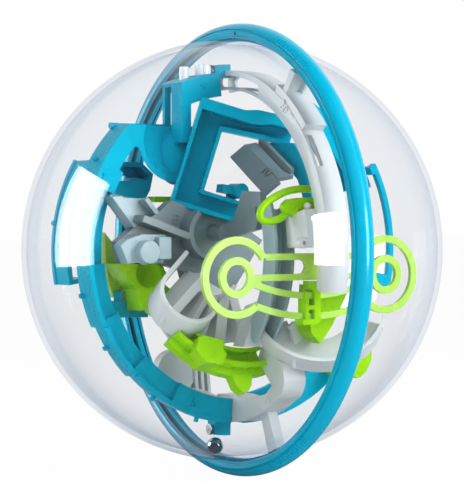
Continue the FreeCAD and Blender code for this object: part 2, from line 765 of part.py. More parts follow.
def funnel():
    """Square C-shaped channel round a large opening, tilted towards the player."""
    wall = S.funnel_wall
    floor = [(-16.8, -22.2), (11.8, -22.2), (11.8, -13), (-4.6, -13), (-4.6, 12.4),
             (13.6, 14), (24, 14.4), (24, 26), (12.8, 25.3), (6.8, 24.8), (1.6, 23.1),
             (-16.8, 23.1)]
    body = new_body("funnel_body")
    pad(body, floor, S.funnel_depth)
    trench = [(-15.2, -20.2), (13, -20.2), (13, -14.8), (-6.4, -14.8), (-6.4, 14.4),
              (13, 16.2), (25, 16.4), (25, 20.8), (14.7, 20.8), (8.2, 18.8), (4, 18.4),
              (-15.2, 18.4)]
    pocket(body, trench, S.funnel_depth, wall)
    low = [(-6.4, -14.8), (13, -14.8), (13, -11), (-3, -11), (-3, 11), (14, 12.6),
           (25, 12.6), (25, 16.4), (13, 16.2), (-6.4, 14.4)]
    pocket(body, low, S.funnel_depth, S.funnel_depth - S.funnel_drop)
    place(body, 16, -14, 36, FUNNEL_TURN)
    back = FUNNEL_TURN.multVec(Vector(0, 0, -1))
    for axis, offset in zip("xyz", back):
        origin = (16, -14, 36)["xyz".index(axis)]
        bind(body, "Placement.Base." + axis, origin + S.funnel_depth * offset)
    return body


FUNNEL_TURN = facing(-30, 0, -17)
basin = node("blue_funnel", funnel())
stairs = node("blue_stair_track", stair_track())
upper_blue = node("blue_upper_track", upper_track())
node("blue_landing", landing())
column = node("blue_arch_column", trimmed("column_seat", arch_column(), [basin]))
node("blue_dish_wall", trimmed("dish_seat", dish_wall(), [basin, column, upper_blue]))


# --------------------------------------------------------------- blue far side
corner = new_body("corner_body")
pad(corner, [(-46.4, 36.6), (-35.8, 36.7), (-30, 31.8), (-31.5, 25.1), (-34.4, 20.5),
             (-50.2, 23.8), (-50.1, 29.1), (-48.3, 32.4)], 9)
pocket(corner, [(-44.6, 34.6), (-36.6, 34.7), (-32, 31), (-33.1, 29.2), (-46, 31.6)], 9, 1.6)
place(corner, -23, 0, 0, ABOUT_X)
corner_hole = block("corner_hole", 20, 8.6, 2.4, -30, -47.6, 28.8)
node("blue_corner_trough", trimmed("corner_cut", corner, [corner_hole]))
node("blue_rear_track", trimmed("rear_seat", cross_band(
    "rear_band", channel(S.rim_inner, S.rim_outer, -5, 9, S.track_wall), 22, 85.5), [upper_grey]))
rear_rim = [cross_band("rear_rim_band", box_corners(71.5, 13, 74, 15.5), -10, 30),
            cross_band("rear_rim_step", box_corners(70, 12, 74, 15.5), 27, 30),
            cross_band("rear_rim_foot", box_corners(62, 12, 74, 15.5), -14, -9)]
node("blue_rear_rim", joined("rear_rim", rear_rim))


# ------------------------------------------------------------------ grey inside
def bow():
    """Small green loop with a slotted pad inside it, held by a pin."""
    body = new_body("bow_body")
    revolve(body, box_corners(S.bow_radius - S.bow_band, 0, S.bow_radius, S.bow_thick), 215)
    turn = facing(-65, 65) * Rotation(Vector(0, 0, 1), 68)
    place(body, S.bow_x, S.bow_y, S.bow_z, turn)
    pad_body = new_body("bow_pad")
    pad(pad_body, [(-9, 1), (-7, 4), (-1, 6.4), (12, 6.6), (12, 2.6), (7, -1.6), (6.2, -6.4),
                   (1.4, -7.4), (-1.4, -3.6), (-8, -2)], S.bow_thick)
    place(pad_body, S.bow_x, S.bow_y, S.bow_z, facing(-50, 40))
    spoke = new_body("bow_spoke")
    pad(spoke, [(-1, -16.6), (3.6, -16.6), (5, -4), (4, 3), (-3, 3), (-2, -5)], S.bow_thick)
    place(spoke, S.bow_x, S.bow_y, S.bow_z, facing(-65, 65))
    return joined("bow_all", [body, pad_body, spoke])


def hanging_loop():
    """Deep U-shaped wall whose legs climb to the centre plate."""
    r_out, r_in = S.bail_radius, S.bail_radius - S.bail_wall
    low, high = as_size(130), as_size(310)
    def leg(radius, angle, along):
        return (radius * cosine(angle) + along * cosine(40),
                radius * sine(angle) + along * sine(40))
    corners = [leg(r_out, low, 0), leg(r_out, high, 0), leg(r_out, high, S.bail_arm),
               leg(r_in, high, S.bail_arm), leg(r_in, high, 0), leg(r_in, low, 0),
               leg(r_in, low, S.bail_leg), leg(r_out, low, S.bail_leg)]
    body = new_body("bail_body")
    pad(body, corners, S.bail_deep, {0: ((0, 0), True), 4: ((0, 0), False)})
    return place(body, S.bail_x, S.bail_y, S.bail_z, facing(0, 35))


def hub_plate():
    """Centre plate that carries the inner tracks, with a curved guide wall."""
    corners = [(-60, 4), (-51, 10.6), (-40.9, 15.6), (-34.7, 20.6), (-3.3, 12), (10, 4.2),
               (3, -6),
               (-10, -24), (-24, -24), (-29, -8), (-44, -4), (-58, -4)]
    body = new_body("hub_body")
    pad(body, corners, S.hub_thick)
    place(body, S.hub_front - S.hub_thick, 0, 0, ABOUT_X)
    curve = new_body("hub_curve")
    revolve(curve, box_corners(9, 0, 11, 8), 150)
    place(curve, S.hub_front, -20, 7.5, ABOUT_X * Rotation(Vector(0, 0, 1), 125))
    rail = new_body("hub_rail")
    pad(rail, [(-53, 12.2), (-31.2, 4.8), (-30.4, 7.4), (-52, 14.8)], 8)
    place(rail, S.hub_front, 0, 0, ABOUT_X)
    boss = cylinder("hub_boss", 3.4, 9, S.hub_front, -14.5, 7.5, ABOUT_X)
    return joined("hub_all", [body, curve, rail, boss])


hub = node("grey_hub", trimmed("hub_seat", hub_plate(), [basin]))
loop = node("grey_hanging_loop", trimmed("loop_seat", hanging_loop(), [hub]))
chute_parts = [
    front_slab("chute_floor", [(-58.8, 22), (-42.5, 21.3), (-37, 15), (-42, 8), (-49, 8)], 2, 1),
    front_slab("chute_left", [(-62.4, 22), (-57.6, 22.4), (-47.4, 9.6), (-50.2, 7.4)], 8, 0),
    front_slab("chute_right", [(-47.2, 20.8), (-45.5, 21.8), (-39.6, 15), (-41.3, 14)], 7, 1)]
chute = node("grey_side_chute", trimmed("chute_seat", joined("chute_all", chute_parts),
                                        [hub, stairs]))
bridge = node("grey_bridge", ring_band(
    "bridge_band", box_corners(S.lane_outer, -9, S.grey_inner, 2), 2, 15))
small_bow = node("green_bow", trimmed("bow_seat", bow(), [lane, upper_grey, bridge]))
inside = wall_slab("inside_slab", [(15.3, 44.6), (32.6, 44.1), (40.4, 37.8), (44.5, 27.2),
                                   (46.6, 20.8), (40.4, 20.8), (36.2, 29), (27.7, 35.2)], 3, 8)
node("blue_inside_track", trimmed("inside_seat", inside, [basin, small_bow]))
ramp_top, ramp_low = (15, 0.4, 43.6), (38, 0.6, 29.5)
ramp_face = beam("ramp_face", ramp_top, ramp_low, 7.4, 2, 12)
ramp_slot = beam("ramp_slot", (14, 2.4, 45), (36, 2.2, 31.4), 0.9, 12, 12)
ramp_lip = beam("ramp_lip", (15, 3.9, 45.4), (38, 4.1, 31.2), 1.4, 4.6, 12)
ramp_plate = beam("ramp_plate", (13.2, -5.5, 40.8), (37.6, -5.3, 25.2), 8.2, 1.8, 50)
ramp = node("grey_ramp", trimmed("ramp_seat", joined("ramp_all", [
    trimmed("ramp_open", ramp_face, [ramp_slot]), ramp_lip, ramp_plate]),
    [lane, basin, small_bow]))


# ------------------------------------------------------------------ green track
def flat_ring(name, outer, start, sweep, y, z):
    body = new_body(name)
    revolve(body, box_corners(outer - S.eye_band, 0, outer, S.key_thick), sweep)
    return place(body, S.key_plane - S.key_thick / 2, y, z,
                 ABOUT_X * Rotation(Vector(0, 0, 1), start))


def key_rail():
    """Flat green rail shaped like two keys whose open shafts meet in the middle."""
    low = -S.key_drop
    back = S.key_plane - S.key_thick / 2
    band = S.eye_band - S.bar_less
    pieces = []
    for side, y, start, neck in (("left", -S.key_reach, 30, 1), ("right", S.key_reach, -128, -1)):
        pieces.append(flat_ring("eye_large_" + side, S.eye_outer, start, 278, y, low))
        pieces.append(flat_ring("eye_small_" + side, S.eye_inner, 0, 360, y, low))
        web = block("key_neck_" + side, S.key_thick, 4.5, 5, back,
                    y + neck * (S.eye_inner - 1.5) - (0 if neck > 0 else 4.5), low - 4)
        pieces.append(web)
    inner_reach = S.key_reach - S.eye_inner + 1
    outer_reach = S.key_reach - S.eye_outer * cosine(30) + 0.5
    pieces.append(block("key_bar_top", S.key_thick, 2 * outer_reach, band, back, -outer_reach,
                        -2.8))
    pieces.append(block("key_bar_low", S.key_thick, 2 * inner_reach, band, back, -inner_reach,
                        -10.8))
    pieces.append(block("key_stop", S.key_thick, 13, 10.5, back, -6.5, -10.8))
    for number, (z, sag, reach) in enumerate(((-10.2, 5.4, 28.6), (-19.2, 4.6, 26.6))):
        radius = (reach * reach + sag * sag) / (2 * sag)
        half_angle = math.degrees(math.asin(reach / radius))
        body = new_body("key_sag_%d" % number)
        revolve(body, box_corners(radius, 0, radius + band, S.key_thick), 2 * half_angle)
        pieces.append(place(body, back, 0, z - sag + radius,
                            ABOUT_X * Rotation(Vector(0, 0, 1), 270 - half_angle)))
    slot_half = (8 - band) / 2
    ends = [cylinder("key_slot_%d" % number, slot_half, 20, 50, y, -2.8 - slot_half, ABOUT_X)
            for number, y in enumerate((-6.5, 6.5))]
    return trimmed("key_cut", joined("key_all", pieces), ends)


def swing_track():
    """Thick green track under the centre: sunk lane, raised lip, outer flange."""
    body = new_body("swing_body")
    section = [(35, 0), (46.5, 0), (46.5, 4), (43.4, 4), (43.4, 8), (41.4, 8), (41.4, 2),
               (36.6, 2), (36.6, 6), (35, 6)]
    revolve(body, section, S.swing_end - S.swing_start)
    turn = facing(0, 20) * Rotation(Vector(0, 0, 1), S.swing_start.value)
    place(body, S.swing_x, S.swing_y, S.swing_z, turn)
    box = new_body("swing_box")
    pad(box, [(-25, -31), (-22.2, -30.4), (-13.6, -32.9), (-14.8, -36), (-13.3, -38.3),
              (-16.3, -42.6), (-23.6, -41.4), (-27, -36)], 11)
    place(box, S.swing_x, S.swing_y, S.swing_z, facing(0, 20))
    tail = new_body("swing_tail")
    pad(tail, [(-9, -45.5), (0.6, -45.9), (-0.4, -50), (-2.7, -52.8), (-4.6, -53.2),
               (-7.5, -50.8)], 5)
    place(tail, S.swing_x, S.swing_y, S.swing_z, facing(0, 20))
    return joined("swing_all", [body, box, tail])


rail = node("green_key_rail", key_rail())
node("green_swing_track", trimmed("swing_seat", swing_track(), [lower_grey, loop]))

# ------------------------------------------------------------- bosses and pins
def joint_boss(name, start, end):
    """Blue boss that screws the blue track to the side of the grey one."""
    return trimmed(name + "_cut", cross_band(name, box_corners(S.rim_outer, -S.boss_half,
                                                               S.boss_reach, S.boss_half),
                                             start, end), [upper_grey, lower_grey, column])


def screw_heads():
    """Two steel screw heads, one in each joint boss."""
    level = (S.rim_outer + S.boss_reach) / 2
    return joined("boss_screw_set", [cylinder("boss_screw_%d" % number, S.boss_screw, 1.5, 0,
                                              S.boss_face - 1.5, sign * level, ABOUT_Y)
                                     for number, sign in enumerate((1, -1))])


cap = block("boss_cap_high", 20, 20, 20, -10, S.boss_face - 20, 66)
cap_low = block("boss_cap_low", 20, 20, 20, -10, S.boss_face - 20, -86)
node("blue_joint_bosses", trimmed("boss_faces", joined("boss_all", [
    joint_boss("boss_high", 92, 101), joint_boss("boss_low", 259, 268)]), [cap, cap_low]))
node("steel_boss_screws", screw_heads())
node("clear_pegs", trimmed("peg_seat", joined("clear_peg_set", [
    cylinder("clear_peg_0", 2, 6, 0, -16, 71.5), cylinder("clear_peg_1", 2, 6, -2, -22.5, 70)]), [column]))

# ------------------------------------------------------------- links to the ring
ring_crop = ring_band("ring_crop", box_corners(web_radius, -20, web_radius + 40, 20),
                      90, 270)
rim_bar = [block("rim_bar", 2.4, 28.2, 2.2, -12.2, -51.8, S.bar_low - 1.3),
           cylinder("rim_bar_peg", 1.3, 3.4, -11, -52.6, S.bar_low - 0.2, ABOUT_Y)]
node("blue_rim_bar", trimmed("rim_bar_cut", joined("rim_bar_all", rim_bar),
                             [column, upper_blue]))
brace = [beam("brace_bar", (-6, -58, -23.4), (-16, -33, -24.6), 4, 6.6),
         beam("brace_bar_small", (-10, -50, -19), (-18, -38, -19), 3, 5)]
cross_brace = node("blue_cross_brace", trimmed("brace_cut", joined("brace_all", brace),
                                           [ring_crop, stairs]))
node("blue_lower_track", trimmed("lower_seat", cross_band(
    "lower_band", channel(S.rim_inner, S.rim_outer, -5, 9, S.track_wall), 270, 312), [lower_grey]))

# ------------------------------------------------------------ inner grey pieces
fan = [flat_bar("fan_%d" % number, start, end, width, 14, S.hub_front)
       for number, (start, end, width) in enumerate((
           ((-27, -10), (-42, -24), 4), ((-25, -17), (-35, -31), 2.4),
           ((-22, -18), (-29.5, -36), 2.4), ((-18, -18), (-20.5, -38), 5),
           ((-14, -18), (-8, -37), 4)))]
fan.append(front_slab("fan_base", [(-27, -8), (-44, -26), (-36, -36), (-21, -39), (-6, -38),
                                   (-12, -16)], 2, S.hub_front))
node("grey_fan", trimmed("fan_seat", joined("fan_all", fan), [loop]))
step = front_slab("step_slab", [(-62, 2.7), (-59, 5), (-52, 7.2), (-41, 7), (-42, -4.7),
                                (-58.6, -4.7)], 6, S.hub_front)
step_nose = cylinder("step_nose", 4.6, 5, S.hub_front + 6, -51, 0, ABOUT_X)
step_block = block("step_block", 9, 6, 9, S.hub_front, -46, -3)
node("grey_step_box", trimmed("step_seat", joined("step_all", [step, step_nose, step_block]),
                              [chute]))
arm_slab = wall_slab("arm_slab", [(12, 4), (39, 9), (43, 17.5), (42, 24), (29, 24.4), (27.5, 21),
                             (23.6, 13.6), (12, 8.5)], 3, -14.5)
arm = node("grey_arm", trimmed("arm_seat", arm_slab, [hub, lane, ramp, basin, small_bow]))
node("grey_strut", trimmed("strut_seat", front_slab("strut_slab", [
    (-12.3, -22), (-5.5, -20), (-9, -38), (-18, -38)], 8, 28), [lane, tray, lower_grey]))
paddle = cylinder("paddle_disc", 9.4, 5, -17, -20, -51.4, ABOUT_X)
paddle_ribs = [front_slab("paddle_rib_%d" % number, [(y, -47), (y + 1.5, -47), (y + 2.6, -61),
                                                     (y + 1.1, -61)], 7, -18)
               for number, y in enumerate((-12, -9, -6))]
paddle_ribs.append(front_slab("paddle_strip", [(-14, -55.4), (-3.4, -57.4), (-3.4, -59.4),
                                               (-14, -57.4)], 3, -18))
paddle_arm = beam("paddle_arm", (-15, -13, -59), (-2.2, -3.8, -63.6), 3, 3)
node("grey_paddle", trimmed("paddle_seat", joined("paddle_all", [paddle, paddle_arm] + paddle_ribs),
                            [lower_grey]))

inner_boss = cylinder("inner_boss_body", 3.2, 8, 5, -3.4, 24.6, ABOUT_X)
inner_arm = flat_bar("inner_boss_arm", (-11, 25.8), (-3.4, 24.6), 3.4, 5, 5)
inner_post = beam("inner_boss_post", (6, -4, 24), (5.8, -4.9, 20.3), 4, 2)
node("blue_inner_boss", trimmed("inner_boss_seat", joined("inner_boss_all", [
    inner_boss, inner_arm, inner_post]), [basin, hub, arm]))
# ----------------------------------------------------------- inner green pieces
clip_parts = [front_slab("clip_left", [(-5, -27), (-3.5, -27.2), (-3.5, -15.5), (-5, -15.4)],
                         5.4, 55),
              front_slab("clip_right", [(-0.8, -27.6), (2, -27.8), (2.4, -11.2), (-2.6, -11.2),
                                        (-2.6, -14), (-0.8, -15.4)], 5.4, 55),
              front_slab("clip_foot", [(-6.4, -28.2), (0, -28.2), (0, -26), (-6.4, -26)], 5.4,
                         55),
              front_slab("clip_bridge", [(-5, -22.4), (2, -22.4), (2, -20.6), (-5, -20.6)],
                         5.4, 55)]
clip = node("green_key_clip", trimmed("clip_seat", joined("clip_all", clip_parts),
                                      [rail, tray]))
node("green_key_band", trimmed("band_seat", front_slab("band_slab", [
    (4.1, -13), (21.9, -16), (16.3, -25.9), (13.2, -30.7), (8, -36.6), (3.6, -32),
    (3.1, -28.4)], 9, 43), [clip, tray, lane, lower_grey]))
bowl_slab = front_slab("bowl_slab", [
    (-56.6, -4.9), (-36, -5.2), (-33.6, -9.8), (-35.5, -13), (-28.8, -18.1), (-31.2, -22.1),
    (-24, -26), (-24.4, -28.5), (-34.6, -27.4), (-41.7, -21.8), (-45.9, -24.2),
    (-47.3, -15.6), (-52, -11.5)], 12, -9)
node("green_bowl", trimmed("bowl_cut", bowl_slab, [
    cross_brace, sphere("bowl_hollow", 6, 4.6, -42.5, -9)]))
node("green_leaf", trimmed("leaf_cut", front_slab("leaf_slab", [
    (-54.4, 7.8), (-50.1, 2.8), (-47.6, -2.3), (-43.1, -8.4), (-43.3, -11.7), (-46.6, -17.4),
    (-50.2, -19.4), (-52.3, -14), (-54, -4.8)], 8, -20), [cross_brace]))
node("green_rear_pad", front_slab("rear_slab", [
    (40, -50), (50, -40), (52, -42), (51.6, -47), (49, -51.4), (45.6, -53.8), (43, -54)], 20,
    9))
node("green_back_bar", block("back_bar", 6, 12, 2.4, S.rim_back - 10, -33, 20))
node("white_loop_pin", trimmed("pin_seat", cylinder(
    "loop_pin", 1.5, 6, 53, -2.6, 16.4, facing(-50, 40)), [small_bow]))


# --------------------------------------------------------------- write the files
doc.recompute()
faults = [item.Name for item in doc.Objects
          if "Invalid" in item.State or "Error" in item.State]
if faults:
    raise RuntimeError("failed features: " + ", ".join(faults))
for name, piece in nodes.items():
    if piece.Shape.isNull() or not piece.Shape.isValid() or not piece.Shape.Solids:
        raise RuntimeError("bad shape: " + name)

os.makedirs("parts", exist_ok=True)
for name, piece in nodes.items():
    piece.Shape.exportStep("parts/%s.step" % name)
print(len(nodes), "sub-parts written")
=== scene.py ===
"""Tilt maze game: a clear ball full of moulded tracks, clamped in a round grip ring."""

import json
import math

import bmesh
import bpy
from bpy.props import FloatProperty, FloatVectorProperty, IntProperty, PointerProperty
from mathutils import Matrix, Vector


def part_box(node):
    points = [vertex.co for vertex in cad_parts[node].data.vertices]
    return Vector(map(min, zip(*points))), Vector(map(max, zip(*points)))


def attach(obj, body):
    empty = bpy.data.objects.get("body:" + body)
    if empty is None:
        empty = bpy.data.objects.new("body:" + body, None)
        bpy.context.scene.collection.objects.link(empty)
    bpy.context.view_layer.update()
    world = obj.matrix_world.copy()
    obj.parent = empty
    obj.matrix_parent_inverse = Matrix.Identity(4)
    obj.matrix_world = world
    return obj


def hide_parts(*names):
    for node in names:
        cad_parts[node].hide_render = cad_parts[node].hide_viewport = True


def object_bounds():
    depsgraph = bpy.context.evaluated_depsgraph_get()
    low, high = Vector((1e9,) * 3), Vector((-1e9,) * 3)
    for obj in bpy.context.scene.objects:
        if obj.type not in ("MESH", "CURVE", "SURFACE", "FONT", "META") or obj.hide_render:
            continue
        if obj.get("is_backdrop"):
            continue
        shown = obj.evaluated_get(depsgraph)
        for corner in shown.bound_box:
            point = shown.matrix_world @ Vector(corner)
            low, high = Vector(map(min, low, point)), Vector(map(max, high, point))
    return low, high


bl_info = {
    "name": "Tilt Maze Game",
    "version": (1, 0, 0),
    "blender": (4, 5, 0),
    "location": "View3D > Sidebar > Tilt Maze",
    "description": "Finishes the pieces of a tilt maze game and lights them",
    "category": "Object",
}

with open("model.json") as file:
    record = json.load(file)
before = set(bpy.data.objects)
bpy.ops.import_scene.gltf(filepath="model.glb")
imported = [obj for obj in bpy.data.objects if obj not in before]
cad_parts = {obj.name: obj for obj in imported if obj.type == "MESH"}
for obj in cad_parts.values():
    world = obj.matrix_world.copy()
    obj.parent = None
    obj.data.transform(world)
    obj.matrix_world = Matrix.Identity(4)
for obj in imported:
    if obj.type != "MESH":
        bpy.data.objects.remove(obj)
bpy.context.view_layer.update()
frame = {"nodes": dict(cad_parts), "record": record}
MM = 0.001
ROOT = "maze"

# Corners that are nearer than this become one, on a CAD node and on a turned piece, and
# edges of a CAD node that are shorter than SHORTEST_EDGE are taken out
WELD = 0.002 * MM
TURNED_WELD = 0.0001 * MM
SHORTEST_EDGE = 0.05 * MM

# Faces that bend by less than FLAT become one; edges that bend by more than SHARP are rounded
FLAT = math.radians(0.6)
SHARP = math.radians(30)

# Bends, in degrees, from which a piece is shaded as a hard edge
SHARP_DEGREES = 30.0
ROUND_DEGREES = 60.0
RING_DEGREES = 24.0

# Range that most of a noise texture's values lie in, and the noises in waves a metre:
# flow marks, gloss and grain of a plastic, tint and polish of steel
NOISE_SPAN = (0.3, 0.7)
FLOW_WAVES = 45.0
GLOSS_WAVES = 160.0
GRAIN_WAVES = 2600.0
STEEL_WAVES = 300.0
POLISH_WAVES = 900.0
GRAIN_DEPTH = 0.1 * MM

# Shares of its colour between which a plastic and a steel drift
PLASTIC_SHADES = (0.93, 1.05)
STEEL_SHADES = (0.85, 1.0)


# ------------------------------------------------------------------ user settings
class MazeSizes(bpy.types.PropertyGroup):
    """Sizes of the finish on the moulded pieces"""

    edge: FloatProperty(
        name="Edge radius", description="Rounding on the edges of the moulded tracks",
        default=0.45 * MM, min=0.0, max=1.0 * MM, unit="LENGTH", precision=5)
    small_edge: FloatProperty(
        name="Small edge radius", description="Rounding on the edges of thin pieces",
        default=0.26 * MM, min=0.0, max=1.0 * MM, unit="LENGTH", precision=5)
    shell_wall: FloatProperty(
        name="Shell wall", description="Wall of the clear half shells",
        default=2.0 * MM, min=0.5 * MM, max=4.0 * MM, unit="LENGTH", precision=5)
    shell_steps: IntProperty(
        name="Shell steps", description="Faces round the rim of a clear half shell",
        default=192, min=32, max=512)
    ring_steps: IntProperty(
        name="Ring steps", description="Faces round the grip ring",
        default=256, min=64, max=512)
    rib_count: IntProperty(
        name="Grip ribs", description="Ribs in each of the ring's two rows of grip ribs",
        default=15, min=0, max=40)
    mark_height: FloatProperty(
        name="Mark height", description="How far the numbers and arrows stand out",
        default=0.4 * MM, min=0.0, max=1.0 * MM, unit="LENGTH", precision=5)


class MazeColours(bpy.types.PropertyGroup):
    """Colours of the plastics"""

    ring: FloatVectorProperty(
        name="Ring", description="Cyan plastic of the grip ring", subtype="COLOR",
        size=3, min=0, max=1, default=(0.0005, 0.335, 0.51))
    blue: FloatVectorProperty(
        name="Blue tracks", description="Cyan plastic of the blue tracks", subtype="COLOR",
        size=3, min=0, max=1, default=(0.0005, 0.37, 0.54))
    green: FloatVectorProperty(
        name="Green tracks", description="Lime plastic of the green tracks",
        subtype="COLOR", size=3, min=0, max=1, default=(0.29, 0.66, 0.007))
    pale: FloatVectorProperty(
        name="Front rail", description="Pale lime plastic of the front rail",
        subtype="COLOR", size=3, min=0, max=1, default=(0.41, 0.69, 0.09))
    # Teal-tinted dark grey: the grey tracks' plastic with painted shade and painted cyan
    # bounce light, for the inner tracks
    inner_grey: FloatVectorProperty(
        name="Inner tracks", description="Darker grey plastic of the inner tracks",
        subtype="COLOR", size=3, min=0, max=1, default=(0.16, 0.225, 0.245))
    grey: FloatVectorProperty(
        name="Grey tracks", description="Light plastic of the grey tracks",
        subtype="COLOR", size=3, min=0, max=1, default=(0.61, 0.645, 0.66))
    white: FloatVectorProperty(
        name="White pins", description="White plastic of the small pins", subtype="COLOR",
        size=3, min=0, max=1, default=(0.86, 0.86, 0.84))


class MazeStudio(bpy.types.PropertyGroup):
    """Camera and lamps"""

    azimuth: FloatProperty(
        name="Azimuth", description="Direction that the camera looks from",
        default=math.radians(56.7), unit="ROTATION")
    elevation: FloatProperty(
        name="Elevation", description="Height of the camera above the horizon",
        default=math.radians(1.2), unit="ROTATION")
    distance: FloatProperty(
        name="Distance", description="Distance of the camera from the ring's centre",
        default=0.78, min=0.2, max=5.0, unit="LENGTH")
    lens: FloatProperty(
        name="Lens", description="Focal length of the camera",
        default=133.67, min=20, max=300, unit="CAMERA")
    level: FloatProperty(
        name="Light level", description="Strength of every lamp", default=1.0, min=0.1,
        max=3.0)


# --------------------------------------------------------------------- materials
def empty_tree(name):
    """A new material, its emptied tree and its output."""
    material = bpy.data.materials.new(name)
    material.use_nodes = True
    tree = material.node_tree
    tree.nodes.clear()
    return material, tree, tree.nodes.new("ShaderNodeOutputMaterial")


def shader_tree(name):
    """A new material, its tree and the Principled shader that feeds its output."""
    material, tree, out = empty_tree(name)
    shader = tree.nodes.new("ShaderNodeBsdfPrincipled")
    tree.links.new(shader.outputs[0], out.inputs[0])
    return material, tree, shader


def noise(tree, scale, detail=2.0):
    """Noise on Object coordinates, scale in waves a metre."""
    place = tree.nodes.new("ShaderNodeTexCoord")
    texture = tree.nodes.new("ShaderNodeTexNoise")
    texture.inputs["Scale"].default_value = scale
    texture.inputs["Detail"].default_value = detail
    tree.links.new(place.outputs["Object"], texture.inputs["Vector"])
    return texture.outputs["Fac"]


def ranged(tree, value, source, target, shape="LINEAR"):
    """A value moved from one range into another, each a pair of low and high."""
    node = tree.nodes.new("ShaderNodeMapRange")
    node.interpolation_type = shape
    for side, number in zip(("From Min", "From Max", "To Min", "To Max"), source + target):
        node.inputs[side].default_value = number
    tree.links.new(value, node.inputs["Value"])
    return node.outputs["Result"]


def clouds(tree, scale, low, high, detail=2.0):
    """Soft noise that drifts over a surface between a low and a high value."""
    return ranged(tree, noise(tree, scale, detail), NOISE_SPAN, (low, high))


def blended(tree, share, first, second):
    """Mix of two colours by a share."""
    node = tree.nodes.new("ShaderNodeMix")
    node.data_type = "RGBA"
    node.inputs["A"].default_value = (*first, 1)
    node.inputs["B"].default_value = (*second, 1)
    tree.links.new(share, node.inputs["Factor"])
    return node.outputs["Result"]


def joined(tree, operation, first, second):
    """Maths on two values, each a socket or a number."""
    node = tree.nodes.new("ShaderNodeMath")
    node.operation = operation
    for socket, value in zip(node.inputs, (first, second)):
        if isinstance(value, (int, float)):
            socket.default_value = value
        else:
            tree.links.new(value, socket)
    return node.outputs[0]


def shaded(colour, share):
    """A colour made darker (below 1) or lighter (above 1)."""
    return tuple(min(1.0, channel * share) for channel in colour)


def moulded_plastic(name, colour, gloss=(0.24, 0.36), grain=0.06, gleam=(1, 1, 1),
                    shine=0.5):
    """Injection-moulded plastic: cloudy flow marks, a fine grain and an uneven gloss."""
    material, tree, shader = shader_tree(name)
    flow = clouds(tree, FLOW_WAVES, 0.0, 1.0, detail=3.0)
    tint = blended(tree, flow, *(shaded(colour, share) for share in PLASTIC_SHADES))
    tree.links.new(tint, shader.inputs["Base Color"])
    tree.links.new(clouds(tree, GLOSS_WAVES, *gloss), shader.inputs["Roughness"])
    shader.inputs["IOR"].default_value = 1.5
    shader.inputs["Specular IOR Level"].default_value = shine
    shader.inputs["Specular Tint"].default_value = (*gleam, 1)
    bump = tree.nodes.new("ShaderNodeBump")
    bump.inputs["Strength"].default_value = grain
    bump.inputs["Distance"].default_value = GRAIN_DEPTH
    tree.links.new(noise(tree, GRAIN_WAVES), bump.inputs["Height"])
    tree.links.new(bump.outputs[0], shader.inputs["Normal"])
    return material


def metal(name, colour, gloss):
    """Bare steel with faint turning marks."""
    material, tree, shader = shader_tree(name)
    shader.inputs["Metallic"].default_value = 1.0
    cloud = clouds(tree, STEEL_WAVES, 0.0, 1.0)
    tint = blended(tree, cloud, *(shaded(colour, share) for share in STEEL_SHADES))
    tree.links.new(tint, shader.inputs["Base Color"])
    tree.links.new(clouds(tree, POLISH_WAVES, *gloss), shader.inputs["Roughness"])
    return material


def clear_plastic(name, tint, rim_tint, mirror):
    """Clear plastic: see-through, tinted at the rim and more mirror-like at a low angle."""
    material, tree, out = empty_tree(name)
    through = tree.nodes.new("ShaderNodeBsdfTransparent")
    gloss = tree.nodes.new("ShaderNodeBsdfGlossy")
    gloss.inputs["Roughness"].default_value = 0.05
    gloss.inputs["Color"].default_value = (1, 1, 1, 1)
    weight = tree.nodes.new("ShaderNodeLayerWeight")
    weight.inputs["Blend"].default_value = 0.5
    grazing = weight.outputs["Facing"]
    colour = blended(tree, joined(tree, "POWER", grazing, 3.0), tint, rim_tint)
    tree.links.new(colour, through.inputs["Color"])
    share = ranged(tree, joined(tree, "POWER", grazing, 5.0), (0.0, 1.0), mirror)
    mix = tree.nodes.new("ShaderNodeMixShader")
    for socket, source in zip(mix.inputs, (share, through.outputs[0], gloss.outputs[0])):
        tree.links.new(source, socket)
    tree.links.new(mix.outputs[0], out.inputs[0])
    return material


# Name of a plastic: its colour setting, how much lighter it is than that setting, and
# where it differs from the usual gloss, grain, gleam and shine
PLASTICS = {
    "Cyan ring plastic": ("ring", 1.0, {"gloss": (0.16, 0.24), "grain": 0.02,
                                        "gleam": (0.5, 0.85, 1.0)}),
    "Cyan track plastic": ("blue", 1.0, {"gleam": (0.0, 0.7, 1.0), "shine": 0.25}),
    "Lime track plastic": ("green", 1.0, {"gleam": (0.7, 1.0, 0.0)}),
    "Pale lime plastic": ("pale", 1.0, {"gloss": (0.2, 0.3)}),
    # Painted shade: the grey of the inner tracks, darkened and tinted teal as if it lay in
    # shade
    "Inner grey plastic": ("inner_grey", 1.0, {"gloss": (0.34, 0.46), "grain": 0.1}),
    # Painted half shade: the same teal grey at 1.9 times, for the chute, step box and inner
    # lane
    "Chute grey plastic": ("inner_grey", 1.9, {"gloss": (0.3, 0.42)}),
    "Grey track plastic": ("grey", 1.0, {"gloss": (0.34, 0.46), "grain": 0.1}),
    "White pin plastic": ("white", 1.0, {"gloss": (0.3, 0.4)}),
}

# Name of a steel: its colour, and its roughness where it is most and least polished
STEELS = {
    "Zinc screw steel": ((0.55, 0.56, 0.58), (0.24, 0.4)),
    "Dark screw steel": ((0.02, 0.03, 0.04), (0.4, 0.6)),
    # The ball's blue tint is painted reflection of the cyan tracks round it
    "Polished ball steel": ((0.60, 0.72, 0.80), (0.05, 0.10)),
}


